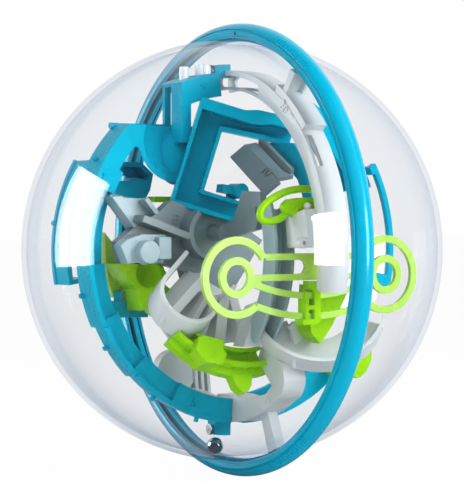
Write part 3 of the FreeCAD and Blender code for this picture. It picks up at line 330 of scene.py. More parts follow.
def finish(name):
    """One of the maze's finishes, made the first time it is asked for."""
    if name in bpy.data.materials:
        return bpy.data.materials[name]
    if name in STEELS:
        return metal(name, *STEELS[name])
    if name == "Clear shell plastic":
        return clear_plastic(name, tint=(0.986, 0.989, 0.993),
                             rim_tint=(0.79, 0.825, 0.875), mirror=(0.036, 0.42))
    if name == "Frosted peg plastic":
        return moulded_plastic(name, (0.80, 0.83, 0.86), gloss=(0.15, 0.3), grain=0.03)
    setting, lighter, look = PLASTICS[name]
    colour = tuple(getattr(bpy.context.scene.maze_colours, setting))
    return moulded_plastic(name, shaded(colour, lighter), **look)


# ------------------------------------------------------------------ building pieces
def piece_from(name, mesh, material):
    """Makes a mesh a piece of the maze in its finish."""
    mesh.materials.clear()
    mesh.materials.append(material)
    piece = bpy.data.objects.new(name, mesh)
    bpy.context.collection.objects.link(piece)
    return piece


def mesh_of(bm, name, sharp):
    """Turns a bmesh into a smooth mesh, with hard edges at bends of sharp degrees or more."""
    limit = math.radians(sharp)
    for face in bm.faces:
        face.smooth = True
    for edge in bm.edges:
        if len(edge.link_faces) == 2:
            edge.smooth = edge.calc_face_angle(0.0) < limit
    mesh = bpy.data.meshes.new(name)
    bm.to_mesh(mesh)
    bm.free()
    return mesh


def lathe(profile, steps, side):
    """Bmesh of a closed profile of (radius, distance) turned round Y; side is 1 or -1."""
    bm = bmesh.new()
    rings = []
    for step in range(steps):
        angle = 2 * math.pi * step / steps
        rings.append([bm.verts.new((r * math.cos(angle), side * y, r * math.sin(angle)))
                      for r, y in profile])
    count = len(profile)
    for step in range(steps):
        here, there = rings[step], rings[(step + 1) % steps]
        for i in range(count):
            j = (i + 1) % count
            bm.faces.new((here[i], here[j], there[j], there[i]))
    bmesh.ops.remove_doubles(bm, verts=bm.verts, dist=TURNED_WELD)
    bmesh.ops.dissolve_degenerate(bm, dist=TURNED_WELD, edges=bm.edges)
    bmesh.ops.recalc_face_normals(bm, faces=bm.faces)
    return bm


def arc_points(centre, radius, start, end, steps):
    """Points (radius, distance) on an arc, both ends included."""
    return [(centre[0] + radius * math.cos(start + (end - start) * i / steps),
             centre[1] + radius * math.sin(start + (end - start) * i / steps))
            for i in range(steps + 1)]


def evaluated(data, modify=None):
    """Mesh of a mesh, curve or text, with the modifiers that modify adds to its object."""
    holder = bpy.data.objects.new(data.name + "_holder", data)
    bpy.context.collection.objects.link(holder)
    if modify:
        modify(holder)
    depsgraph = bpy.context.evaluated_depsgraph_get()
    result = bpy.data.meshes.new_from_object(holder.evaluated_get(depsgraph))
    bpy.data.objects.remove(holder)
    return result


def rounded(mesh, width, segments=2):
    """A mesh with its hard edges rounded."""
    def modify(holder):
        bevel = holder.modifiers.new("Rounded edges", "BEVEL")
        bevel.width = width
        bevel.segments = segments
        bevel.limit_method = "ANGLE"
        bevel.angle_limit = SHARP
        bevel.use_clamp_overlap = True
        bevel.harden_normals = True
    return evaluated(mesh, modify)


def rounded_copy(node, width, cut=None):
    """Mesh of a CAD node with its edges rounded; cut is a plane's point and normal."""
    bm = bmesh.new()
    bm.from_mesh(frame["nodes"][node].data)
    bmesh.ops.remove_doubles(bm, verts=bm.verts, dist=WELD)
    bmesh.ops.dissolve_limit(bm, angle_limit=FLAT, verts=bm.verts, edges=bm.edges)
    bmesh.ops.dissolve_degenerate(bm, dist=SHORTEST_EDGE, edges=bm.edges)
    if cut:
        point, normal = cut
        whole = list(bm.verts) + list(bm.edges) + list(bm.faces)
        bmesh.ops.bisect_plane(bm, geom=whole, plane_co=point, plane_no=normal,
                               clear_outer=True)
        rim = [edge for edge in bm.edges if len(edge.link_faces) == 1]
        bmesh.ops.holes_fill(bm, edges=rim)
    return rounded(mesh_of(bm, node + "_rounded", SHARP_DEGREES), width)


def sector(bm, inner, outer, start, end, near, far):
    """Adds a block of a ring about the Y axis: radii, angles in degrees, and sides."""
    corners = []
    for y in (near, far):
        for radius, angle in ((inner, start), (outer, start), (outer, end), (inner, end)):
            a = math.radians(angle)
            corners.append(bm.verts.new((radius * math.cos(a), y, radius * math.sin(a))))
    for face in ((0, 1, 2, 3), (7, 6, 5, 4), (0, 4, 5, 1), (1, 5, 6, 2), (2, 6, 7, 3),
                 (3, 7, 4, 0)):
        bm.faces.new([corners[i] for i in face])


def slab(bm, points, x_low, x_high):
    """Adds an outline of (y, z) in millimetres, as thick as from x_low to x_high."""
    low = [bm.verts.new((x_low * MM, y * MM, z * MM)) for y, z in points]
    high = [bm.verts.new((x_high * MM, y * MM, z * MM)) for y, z in points]
    bm.faces.new(low)
    bm.faces.new(high)
    for i in range(len(points)):
        j = (i + 1) % len(points)
        bm.faces.new((low[i], low[j], high[j], high[i]))


def closed_mesh(bm, name, width, segments=2):
    """Turns blocks into one mesh with outward faces and rounded edges."""
    bmesh.ops.recalc_face_normals(bm, faces=bm.faces)
    return rounded(mesh_of(bm, name, SHARP_DEGREES), width, segments)


def tube(name, points, radius):
    """Mesh of a round bar along a smooth line of points in millimetres."""
    curve = bpy.data.curves.new(name, "CURVE")
    curve.dimensions = "3D"
    curve.bevel_depth = radius
    curve.bevel_resolution = 5
    curve.resolution_u = 10
    curve.use_fill_caps = True
    line = curve.splines.new("NURBS")
    line.points.add(len(points) - 1)
    for point, place in zip(line.points, points):
        point.co = (*(Vector(place) * MM), 1)
    line.order_u = 4
    line.use_endpoint_u = True
    mesh = evaluated(curve)
    for polygon in mesh.polygons:
        polygon.use_smooth = True
    return mesh


def merged(name, meshes):
    """One mesh from several."""
    bm = bmesh.new()
    for mesh in meshes:
        bm.from_mesh(mesh)
    mesh = bpy.data.meshes.new(name)
    bm.to_mesh(mesh)
    bm.free()
    return mesh


# ----------------------------------------------------------------------- operators
FLANGE_THICKNESS = 1.2 * MM


class MAZE_OT_shells(bpy.types.Operator):
    """Clear half shells with a flat rim flange"""

    bl_idname = "tilt_maze.shells"
    bl_label = "Clear Shells"

    def execute(self, context):
        sizes = context.scene.maze_sizes
        low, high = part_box("shell_left")
        outer, flange = -low.y, high.x
        near = -high.y
        far = near + FLANGE_THICKNESS
        inner = outer - sizes.shell_wall
        pole, steps = math.pi / 2, sizes.shell_steps // 4
        profile = arc_points((0, 0), inner, pole, math.asin(near / inner), steps)
        profile += [(flange, near), (flange, far)]
        profile += arc_points((0, 0), outer, math.asin(far / outer), pole, steps)
        for name, side in (("shell_left", -1), ("shell_right", 1)):
            bm = lathe(profile, sizes.shell_steps, side)
            mesh = mesh_of(bm, name + "_clear", SHARP_DEGREES)
            piece = piece_from(name + "_clear", mesh, finish("Clear shell plastic"))
            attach(piece, ROOT)
            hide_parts(name)
        return {"FINISHED"}


def ring_profile():
    """Section of half the ring, as (radius, distance): web, grip, valley, band, seat."""
    low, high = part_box("ring_right")
    outer, half = min(high.x, high.z, -low.x, -low.z), high.y
    centre = outer - half
    _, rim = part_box("shell_right")
    flange = rim.x + 0.1 * MM
    lip = flange - 2.3 * MM
    web = lip - 1.2 * MM
    seat_low, seat_high = 1.2 * MM, 2.6 * MM
    grip = arc_points((centre, 0), half, 0.0, math.acos(2.1 * MM / half), steps=14)
    valley = [(centre + 1.75 * MM, 3.75 * MM), (centre + 1.4 * MM, 3.9 * MM)]
    band = [(centre + 1.25 * MM, half - 0.12 * MM), (centre + 0.95 * MM, half),
            (lip + 0.8 * MM, half - 0.2 * MM), (lip + 0.3 * MM, half - 0.4 * MM),
            (lip, half - 0.9 * MM)]
    seat = [(lip, seat_high), (flange, seat_high), (flange, seat_low), (web, seat_low)]
    return [(web, 0.0)] + grip + valley + band + seat


class MAZE_OT_ring(bpy.types.Operator):
    """Grip ring in two halves, each with a flat band, a valley and a round grip"""

    bl_idname = "tilt_maze.ring"
    bl_label = "Grip Ring"

    def execute(self, context):
        steps = context.scene.maze_sizes.ring_steps
        for name, side in (("ring_left", -1), ("ring_right", 1)):
            mesh = mesh_of(lathe(ring_profile(), steps, side), name + "_grip", RING_DEGREES)
            piece = piece_from(name + "_grip", mesh, finish("Cyan ring plastic"))
            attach(piece, ROOT)
            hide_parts(name)
        return {"FINISHED"}


# Name of a row of ribs and the angles, in degrees round the ring, that it runs between
RIB_ROWS = (("upper_grip_ribs", 51.5, 65.5), ("lower_grip_ribs", -69.0, -52.0))
RIB_BAR = (0.6 * MM, 2.6 * MM, 0.5 * MM)
RIB_LEAN = math.radians(47.0)
RIB_SINK = 0.05 * MM
RIB_EDGE = 0.15 * MM


def rib_tree(material):
    """Geometry Nodes tree that sets a row of small bars along a round grip."""
    tree = bpy.data.node_groups.new("Grip ribs", "GeometryNodeTree")
    face = tree.interface
    face.new_socket("Geometry", in_out="OUTPUT", socket_type="NodeSocketGeometry")
    inputs = (("Count", "NodeSocketInt", 15),
              ("Ring radius", "NodeSocketFloat", 90.0 * MM),
              ("Grip radius", "NodeSocketFloat", 4.5 * MM),
              ("Start", "NodeSocketFloat", 0.0), ("Sweep", "NodeSocketFloat", 0.2),
              ("Lean", "NodeSocketFloat", 1.0), ("Bar", "NodeSocketVector", RIB_BAR))
    for name, kind, value in inputs:
        face.new_socket(name, in_out="INPUT", socket_type=kind).default_value = value
    source = tree.nodes.new("NodeGroupInput").outputs

    def negative(value):
        return joined(tree, "MULTIPLY", value, -1.0)

    def reach(function, angle, radius):
        return joined(tree, "MULTIPLY", radius, joined(tree, function, angle, 0.0))

    def vector(x, y, z):
        node = tree.nodes.new("ShaderNodeCombineXYZ")
        for socket, value in zip(node.inputs, (x, y, z)):
            if isinstance(value, (int, float)):
                socket.default_value = value
            else:
                tree.links.new(value, socket)
        return node.outputs[0]

    index = tree.nodes.new("GeometryNodeInputIndex").outputs[0]
    gaps = joined(tree, "SUBTRACT", source["Count"], 1.0)
    swept = joined(tree, "MULTIPLY", source["Sweep"], joined(tree, "DIVIDE", index, gaps))
    angle = joined(tree, "ADD", source["Start"], swept)
    ring, grip, lean = source["Ring radius"], source["Grip radius"], source["Lean"]
    points = tree.nodes.new("GeometryNodePoints")
    tree.links.new(source["Count"], points.inputs["Count"])
    place = vector(reach("COSINE", angle, ring), 0.0, reach("SINE", angle, ring))
    tree.links.new(place, points.inputs["Position"])
    bar = tree.nodes.new("GeometryNodeMeshCube")
    tree.links.new(source["Bar"], bar.inputs["Size"])
    shift = tree.nodes.new("GeometryNodeTransform")
    tree.links.new(bar.outputs["Mesh"], shift.inputs["Geometry"])
    outwards = vector(reach("COSINE", lean, grip), negative(reach("SINE", lean, grip)), 0.0)
    tree.links.new(outwards, shift.inputs["Translation"])
    tree.links.new(vector(0.0, 0.0, negative(lean)), shift.inputs["Rotation"])
    spread = tree.nodes.new("GeometryNodeInstanceOnPoints")
    tree.links.new(points.outputs[0], spread.inputs["Points"])
    tree.links.new(shift.outputs[0], spread.inputs["Instance"])
    tree.links.new(vector(0.0, negative(angle), 0.0), spread.inputs["Rotation"])
    real = tree.nodes.new("GeometryNodeRealizeInstances")
    tree.links.new(spread.outputs[0], real.inputs[0])
    paint = tree.nodes.new("GeometryNodeSetMaterial")
    paint.inputs["Material"].default_value = material
    tree.links.new(real.outputs[0], paint.inputs["Geometry"])
    sink = tree.nodes.new("NodeGroupOutput")
    tree.links.new(paint.outputs[0], sink.inputs[0])
    return tree


class MAZE_OT_ribs(bpy.types.Operator):
    """Two rows of grip ribs on the shoulder of the ring"""

    bl_idname = "tilt_maze.ribs"
    bl_label = "Grip Ribs"

    def execute(self, context):
        material = finish("Cyan ring plastic")
        tree = rib_tree(material)
        socket = {item.name: item.identifier for item in tree.interface.items_tree
                  if item.in_out == "INPUT"}
        _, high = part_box("ring_right")
        half = high.y
        for name, start, end in RIB_ROWS:
            values = {"Count": context.scene.maze_sizes.rib_count,
                      "Ring radius": high.x - half, "Grip radius": half - RIB_SINK,
                      "Start": math.radians(start), "Sweep": math.radians(end - start),
                      "Lean": RIB_LEAN}

            def add_ribs(holder):
                ribs = holder.modifiers.new("Ribs", "NODES")
                ribs.node_group = tree
                for item, value in values.items():
                    ribs[socket[item]] = value
            row = evaluated(bpy.data.meshes.new(name), add_ribs)
            piece = piece_from(name, rounded(row, RIB_EDGE), material)
            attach(piece, ROOT)
        return {"FINISHED"}


# Usual finish of a moulded piece, by its material slot
FINISH_OF_SLOT = {
    "blue_plastic": "Cyan track plastic",
    "green_plastic": "Lime track plastic",
    "grey_plastic": "Grey track plastic",
    "white_plastic": "White pin plastic",
    "clear_peg": "Frosted peg plastic",
}

# Nodes and marks whose finish isn't the one of their slot
OWN_FINISH = {
    "green_key_rail": "Pale lime plastic",
    # Painted light: the leaf lies deep in shade and takes the paler lime so that it looks lit
    "green_leaf": "Pale lime plastic",
    # The hub, arm, ramp and their numbers take the grey with painted shade
    "grey_hub": "Inner grey plastic",
    "grey_arm": "Inner grey plastic",
    "grey_ramp": "Inner grey plastic",
    "hub_number": "Inner grey plastic",
    "ramp_number": "Inner grey plastic",
    # The chute, step box and inner lane take the grey with painted half shade
    "grey_side_chute": "Chute grey plastic",
    "grey_step_box": "Chute grey plastic",
    "grey_inner_lane": "Chute grey plastic",
}

# Moulded nodes that operators of their own replace
OWN_PIECES = ("green_bow", "post_upper", "post_lower", "white_loop_pin")

# Plane, as a point in metres and a normal, past which a node is cut away
CUTS = {"blue_rear_track": ((0, 0.030, 0.060), (0, -0.894, 0.447))}

# A node whose least extent is smaller than this gets the small edge radius
THIN = 4 * MM

# Post: inner and outer radius in mm, middle and spread in degrees round the ring's axis;
# each is a channel of two flanges and a web, which starts inside the flanges
POSTS = (("post_upper", 76.5, 87.6, 55.0, 2.4), ("post_lower", 70.5, 87.6, -67.6, 4.4))
POST_FLANGE = 1.6 * MM
POST_WEB_START = 1.2 * MM
POST_WEB_DEGREES = 0.9
POST_EDGE = 0.3 * MM

# Small green loop: its bar's line, its pad, its hook and the pin's two round ends (with
# their radii), all as y and z in mm, and where each lies along x
LOOP_LINE = ((0.6, 25.1), (-5.2, 25.1), (-9.8, 24.5), (-14.8, 22.7), (-19.7, 20.2),
             (-23.1, 17.1), (-23.9, 14.4), (-22.3, 12.5), (-19.3, 12.2), (-15.5, 12.8),
             (-12.4, 14.0), (-11.0, 16.0))
LOOP_X = 55.5
LOOP_RADIUS = 1.5 * MM
PAD_OUTLINE = ((-14.4, 19.0), (-14.4, 16.8), (-12.4, 15.2), (-10.2, 15.4), (-9.0, 13.4),
               (-7.0, 12.8), (-1.0, 13.4), (1.0, 17.2), (2.0, 21.7), (-6.3, 21.6),
               (-11.8, 20.9))
PAD_X = (55.0, 58.4)
PAD_EDGE = 1.0 * MM
HOOK_OUTLINE = ((-9.4, 15.6), (-8.2, 14.6), (-2.4, 14.8), (-1.2, 16.6), (-1.6, 17.8),
                (-4.6, 16.0), (-8.0, 18.4), (-9.4, 17.4))
HOOK_X = (58.0, 60.0)
HOOK_EDGE = 0.7 * MM
PIN_ENDS = ((-4.2, 18.3, 1.5), (-3.7, 15.9, 1.9))
PIN_X = 60.0

# Seat or hook: its outline as y and z in mm, where it starts and ends along x, its slot
SEATS = (("rear_rim_seat", ((60.8, 33.2), (62.6, 31.9), (64.0, 33.2), (62.2, 35.8)),
          8.2, 12.8, "blue_plastic"),
         ("tray_hook", ((-0.9, -30.2), (2.0, -27.9), (7.1, -28.8), (8.4, -31.4),
                        (4.9, -32.0), (6.9, -36.6), (1.8, -37.2), (0.5, -31.6)),
          41.0, 43.0, "grey_plastic"),
         ("front_rail_seat", ((-0.6, -27.2), (4.6, -27.8), (5.0, -14.6), (-0.4, -15.2)),
          50.8, 56.0, "green_plastic"))

# Foot of the blue column: centre and radii of its bulge in mm
FOOT_CENTRE = (-7.6, -23.4, 39.0)
FOOT_RADII = (6.4, 8.0, 11.8)

# Peg: its centre in mm, its direction, its length and its radius in mm
PEGS = (("tray_peg", (49.6, -2.9, -43.9), (0.05, 0.0, 1.0), 4.6, 0.9),
        ("loop_peg", (25.3, -49.0, -26.4), (0.3, 0.35, 0.9), 4.4, 0.9))
PEG_EDGE = 0.4 * MM

# Boss on the bridge: a short tube along x, its bore and outside, its ends and its axis
BOSS_RADII = (0.9 * MM, 2.1 * MM)
BOSS_X = (64.0 * MM, 67.0 * MM)
BOSS_AXIS = (0.0, -10.5 * MM, 4.0 * MM)


class MAZE_OT_tracks(bpy.types.Operator):
    """Moulded tracks and pegs with rounded edges"""

    bl_idname = "tilt_maze.tracks"
    bl_label = "Moulded Tracks"

    def execute(self, context):
        sizes = context.scene.maze_sizes
        for entry in frame["record"]["subparts"]:
            node, slot = entry["node"], entry["material_slot"]
            if slot not in FINISH_OF_SLOT or node in OWN_PIECES:
                continue
            low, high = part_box(node)
            width = sizes.small_edge if min(high - low) < THIN else sizes.edge
            piece = piece_from(node + "_moulded", rounded_copy(node, width, CUTS.get(node)),
                               finish(OWN_FINISH.get(node, FINISH_OF_SLOT[slot])))
            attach(piece, ROOT)
            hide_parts(node)
        return {"FINISHED"}


class MAZE_OT_posts(bpy.types.Operator):
    """Channel posts that carry the grey tracks on the ring"""

    bl_idname = "tilt_maze.posts"
    bl_label = "Posts"

    def execute(self, context):
        for node, inner, outer, middle, spread in POSTS:
            _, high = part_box(node)
            half = high.y
            start, end = middle - spread / 2, middle + spread / 2
            bm = bmesh.new()
            for from_angle, near, far in (
                    (start, -half, POST_FLANGE - half),
                    (start, half - POST_FLANGE, half),
                    (end - POST_WEB_DEGREES, POST_WEB_START - half, half - POST_WEB_START)):
                sector(bm, inner * MM, outer * MM, from_angle, end, near, far)
            mesh = closed_mesh(bm, node + "_channel", POST_EDGE)
            piece = piece_from(node + "_channel", mesh, finish("Grey track plastic"))
            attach(piece, ROOT)
            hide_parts(node)
        return {"FINISHED"}


class MAZE_OT_bow(bpy.types.Operator):
    """Small green loop with its slotted pad and the white pin that holds it"""

    bl_idname = "tilt_maze.bow"
    bl_label = "Green Loop"

    def execute(self, context):
        loop = tube("loop_bar", [(LOOP_X, y, z) for y, z in LOOP_LINE], LOOP_RADIUS)
        bm = bmesh.new()
        slab(bm, PAD_OUTLINE, *PAD_X)
        pad = closed_mesh(bm, "loop_pad", PAD_EDGE, segments=4)
        bm = bmesh.new()
        slab(bm, HOOK_OUTLINE, *HOOK_X)
        hook = closed_mesh(bm, "loop_hook", HOOK_EDGE, segments=3)
        piece = piece_from("green_loop", merged("green_loop", [loop, pad, hook]),
                           finish("Lime track plastic"))
        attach(piece, ROOT)
        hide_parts("green_bow")
        bm = bmesh.new()
        for y, z, radius in PIN_ENDS:
            bmesh.ops.create_uvsphere(
                bm, u_segments=20, v_segments=12, radius=radius * MM,
                matrix=Matrix.Translation(Vector((PIN_X, y, z)) * MM))
        pin = piece_from("loop_pin", mesh_of(bm, "loop_pin", ROUND_DEGREES),
                         finish("White pin plastic"))
        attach(pin, ROOT)
        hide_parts("white_loop_pin")
        return {"FINISHED"}


class MAZE_OT_seats(bpy.types.Operator):
    """Links of the rear rim and the front rail, the tray's hook and the column's foot"""

    bl_idname = "tilt_maze.seats"
    bl_label = "Seats"

    def execute(self, context):
        for name, points, x_low, x_high, slot in SEATS:
            bm = bmesh.new()
            slab(bm, points, x_low, x_high)
            mesh = closed_mesh(bm, name, context.scene.maze_sizes.small_edge)
            piece = piece_from(name, mesh, finish(FINISH_OF_SLOT[slot]))
            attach(piece, ROOT)
        bm = bmesh.new()
        bmesh.ops.create_uvsphere(
            bm, u_segments=48, v_segments=32, radius=1.0,
            matrix=Matrix.Translation(Vector(FOOT_CENTRE) * MM)
            @ Matrix.Diagonal((*(Vector(FOOT_RADII) * MM), 1.0)))
        piece = piece_from("column_foot", mesh_of(bm, "column_foot", ROUND_DEGREES),
                           finish("Cyan track plastic"))
        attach(piece, ROOT)
        return {"FINISHED"}


class MAZE_OT_pegs(bpy.types.Operator):
    """Small moulded pegs and a boss on the walls of the grey tracks"""

    bl_idname = "tilt_maze.pegs"
    bl_label = "Wall Pegs"

    def execute(self, context):
        for name, place, along, length, radius in PEGS:
            bm = bmesh.new()
            turn = Vector(along).to_track_quat("Z", "Y").to_matrix().to_4x4()
            bmesh.ops.create_cone(
                bm, cap_ends=True, segments=20, radius1=radius * MM, radius2=radius * MM,
                depth=length * MM, matrix=Matrix.Translation(Vector(place) * MM) @ turn)
            mesh = rounded(mesh_of(bm, name, SHARP_DEGREES), PEG_EDGE)
            piece = piece_from(name, mesh, finish("Grey track plastic"))
            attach(piece, ROOT)
        (bore, wall), (near, far) = BOSS_RADII, BOSS_X
        bm = lathe(((bore, near), (wall, near), (wall, far), (bore, far)), steps=32, side=-1)
        bmesh.ops.rotate(bm, verts=bm.verts, cent=(0, 0, 0),
                         matrix=Matrix.Rotation(math.pi / 2, 3, "Z"))
        bmesh.ops.translate(bm, verts=bm.verts, vec=BOSS_AXIS)
        piece = piece_from("bridge_boss", mesh_of(bm, "bridge_boss", SHARP_DEGREES),
                           finish("Grey track plastic"))
        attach(piece, ROOT)
        return {"FINISHED"}


# Arrow of length 1 that points along x
ARROW = ((-0.5, -0.09), (0.1, -0.09), (0.1, -0.3), (0.5, 0.0), (0.1, 0.3), (0.1, 0.09),
         (-0.5, 0.09))
FROM_LEFT = (0, -1, 0)
FROM_FRONT = (1, 0, 0)

# Mark: its number, or nothing for an arrow, its centre in mm, the side it faces, its turn in
# degrees, its size in mm and its slot
MARKS = (("arch_arrow", "", (4.2, -16.4, 67.9), FROM_FRONT, -8, 3.6, "blue_plastic"),
         ("landing_arrow", "", (1.0, -61.9, 30.8), FROM_FRONT, 68, 4.2, "blue_plastic"),
         ("stair_number", "5", (8.9, -24.6, -62.6), FROM_FRONT, -18, 4.6, "blue_plastic"),
         ("track_number", "20", (45.6, -5.3, 57.6), FROM_LEFT, -46, 4.6, "grey_plastic"),
         ("track_arrow", "", (51.0, -5.3, 54.2), FROM_LEFT, -48, 3.0, "grey_plastic"),
         ("low_number", "15", (34.6, -5.3, -61.4), FROM_LEFT, 30, 4.0, "grey_plastic"),
         ("low_arrow", "", (28.2, -5.3, -64.8), FROM_LEFT, 208, 3.2, "grey_plastic"),
         ("hub_number", "8", (8.0, -32.8, 13.1), FROM_FRONT, -18, 4.6, "grey_plastic"),
         ("ramp_number", "10", (32.0, -4.7, 32.4), (0.35, -0.76, 0.54), -35, 4.0,
          "grey_plastic"))

# Size of the text, in metres, of a number that is 1 mm in size
NUMBER_SCALE = 1.25 * MM


def number_mesh(name, text, size, height):
    """Mesh of a number that stands out on both sides of the XY plane by height."""
    curve = bpy.data.curves.new(name, "FONT")
    curve.body = text
    curve.size = size * NUMBER_SCALE
    curve.align_x = "CENTER"
    curve.align_y = "CENTER"
    curve.extrude = height
    curve.resolution_u = 4
    return evaluated(curve)


def arrow_mesh(name, size, height):
    """Mesh of an arrow that stands out on both sides of the XY plane by height."""
    bm = bmesh.new()
    outline = [bm.verts.new((x * size * MM, y * size * MM, -height)) for x, y in ARROW]
    raised = bmesh.ops.extrude_face_region(bm, geom=[bm.faces.new(outline)])
    for item in raised["geom"]:
        if isinstance(item, bmesh.types.BMVert):
            item.co.z = height
    bmesh.ops.recalc_face_normals(bm, faces=bm.faces)
    return mesh_of(bm, name, SHARP_DEGREES)


def turned_to(facing, roll):
    """Turn of a mark in the XY plane that faces it to a side, rolled by degrees."""
    out = Vector(facing).normalized()
    side = Vector((0, 0, 1)).cross(out).normalized()
    top = out.cross(side)
    upright = Matrix((side, top, out)).transposed()
    return (upright @ Matrix.Rotation(math.radians(roll), 3, "Z")).to_4x4()


class MAZE_OT_marks(bpy.types.Operator):
    """Raised step numbers and arrows on the faces of the tracks"""

    bl_idname = "tilt_maze.marks"
    bl_label = "Step Marks"

    def execute(self, context):
        height = context.scene.maze_sizes.mark_height
        for name, text, place, facing, roll, size, slot in MARKS:
            if text:
                mesh = number_mesh(name, text, size, height)
            else:
                mesh = arrow_mesh(name, size, height)
            mesh.transform(Matrix.Translation(Vector(place) * MM) @ turned_to(facing, roll))
            look = OWN_FINISH.get(name, FINISH_OF_SLOT[slot])
            piece = piece_from(name, mesh, finish(look))
            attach(piece, ROOT)
        return {"FINISHED"}


# Sunk screws of the ring: where they stand, in degrees round the ring's axis, the circle
# that they stand on, and how deep in the grip's side the middle of each lies
SCREW_ANGLES = (84.2, 188.0)
SCREW_CIRCLE = 90.3 * MM
SCREW_DEPTH = 0.75 * MM
SCREW_RADIUS = 0.75 * MM
SCREW_LENGTH = 1.6 * MM
BOSS_SCREW_EDGE = 0.2 * MM


class MAZE_OT_metal(bpy.types.Operator):
    """Steel screws and the rolling ball"""

    bl_idname = "tilt_maze.metal"
    bl_label = "Steel Parts"

    def execute(self, context):
        piece = piece_from("steel_boss_screws_steel",
                           rounded_copy("steel_boss_screws", BOSS_SCREW_EDGE),
                           finish("Zinc screw steel"))
        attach(piece, ROOT)
        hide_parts("steel_boss_screws")
        _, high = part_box("ring_right")
        bm = bmesh.new()
        for degrees in SCREW_ANGLES:
            angle = math.radians(degrees)
            for side in (-1, 1):
                centre = Vector((SCREW_CIRCLE * math.cos(angle),
                                 side * (high.y - SCREW_DEPTH),
                                 SCREW_CIRCLE * math.sin(angle)))
                bmesh.ops.create_cone(
                    bm, cap_ends=True, segments=20, radius1=SCREW_RADIUS,
                    radius2=SCREW_RADIUS, depth=SCREW_LENGTH,
                    matrix=Matrix.Translation(centre)
                    @ Matrix.Rotation(math.pi / 2, 4, "X"))
        piece = piece_from("ring_screws_sunk", mesh_of(bm, "ring_screws_sunk", SHARP_DEGREES),
                           finish("Dark screw steel"))
        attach(piece, ROOT)
        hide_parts("ring_screws")
        low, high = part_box("steel_ball")
        bm = bmesh.new()
        bmesh.ops.create_icosphere(bm, subdivisions=5, radius=(high.x - low.x) / 2,
                                   matrix=Matrix.Translation((low + high) / 2))
        mesh = mesh_of(bm, "rolling_ball", ROUND_DEGREES)
        ball = piece_from("rolling_ball", mesh, finish("Polished ball steel"))
        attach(ball, "ball")
        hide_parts("steel_ball")
        return {"FINISHED"}


# --------------------------------------------------------------------------- stage
FLOOR_SIZE = 6.0
FLOOR_GAP = 0.3 * MM
SENSOR_WIDTH = 36.0

# Part of what the camera sees of the floor that glows; the rest keeps the shadow
GLOW_SHARE = 0.975

# Strength at which the white world lights the maze
WORLD_FILL = 0.14

# Lamp: its direction as shares of the camera's back, right and up, its distance, width and
# height in metres, its power in watts, whether it lights the maze, and whether it is mirrored
LAMPS = (("right softbox", 0.47, 0.81, 0.36, 0.9, 0.35, 0.45, 6.0, True, False),
         ("high softbox", 0.32, 0.56, 0.77, 0.9, 0.4, 0.4, 4.5, True, False),
         ("front softbox", 0.87, 0.0, 0.50, 1.0, 0.8, 0.8, 3.8, True, False),
         ("left softbox", 0.05, -0.94, 0.34, 0.9, 0.4, 0.6, 3.6, True, False),
         ("low softbox", 0.85, -0.50, -0.01, 0.9, 0.5, 0.14, 0.9, True, False),
         ("left window", -0.01, -1.0, 0.12, 0.9, 0.45, 0.72, 13.0, False, True),
         ("right window", 0.63, 0.77, -0.07, 0.9, 0.25, 0.68, 12.5, False, True))


def stage_plane(name, size, matrix, material):
    """A flat stage piece that isn't part of the maze."""
    bm = bmesh.new()
    bmesh.ops.create_grid(bm, x_segments=1, y_segments=1, size=size, matrix=matrix)
    mesh = bpy.data.meshes.new(name)
    bm.to_mesh(mesh)
    bm.free()
    mesh.materials.append(material)
    plane = bpy.data.objects.new(name, mesh)
    bpy.context.collection.objects.link(plane)
    plane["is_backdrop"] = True


def backdrop_share(tree, place, front):
    """White share of the sweep at a place: full behind the maze, little in front of it."""
    unit = tree.nodes.new("ShaderNodeVectorMath")
    unit.operation = "NORMALIZE"
    tree.links.new(place, unit.inputs[0])
    side = tree.nodes.new("ShaderNodeVectorMath")
    side.operation = "DOT_PRODUCT"
    side.inputs[1].default_value = front
    tree.links.new(unit.outputs[0], side.inputs[0])
    return ranged(tree, side.outputs["Value"], (-0.7, -0.1), (1.0, 0.08), "SMOOTHSTEP")


def white_floor(name, front):
    """White floor that keeps the maze's shadow and shows white to the camera."""
    material, tree, out = empty_tree(name)
    shader = tree.nodes.new("ShaderNodeBsdfPrincipled")
    shader.inputs["Base Color"].default_value = (0.9, 0.9, 0.9, 1)
    shader.inputs["Roughness"].default_value = 0.8
    shader.inputs["Specular IOR Level"].default_value = 0.0
    path = tree.nodes.new("ShaderNodeLightPath")
    place = tree.nodes.new("ShaderNodeTexCoord")
    white = backdrop_share(tree, place.outputs["Object"], front)
    mirrored = joined(tree, "MULTIPLY", path.outputs["Is Glossy Ray"], white)
    seen = joined(tree, "MAXIMUM", path.outputs["Is Camera Ray"], mirrored)
    glow = tree.nodes.new("ShaderNodeEmission")
    tree.links.new(seen, glow.inputs["Strength"])
    either = joined(tree, "MAXIMUM", path.outputs["Is Camera Ray"],
                    path.outputs["Is Glossy Ray"])
    share = joined(tree, "MULTIPLY", either, GLOW_SHARE)
    mix = tree.nodes.new("ShaderNodeMixShader")
    for socket, source in zip(mix.inputs, (share, shader.outputs[0], glow.outputs[0])):
        tree.links.new(source, socket)
    tree.links.new(mix.outputs[0], out.inputs[0])
    return material


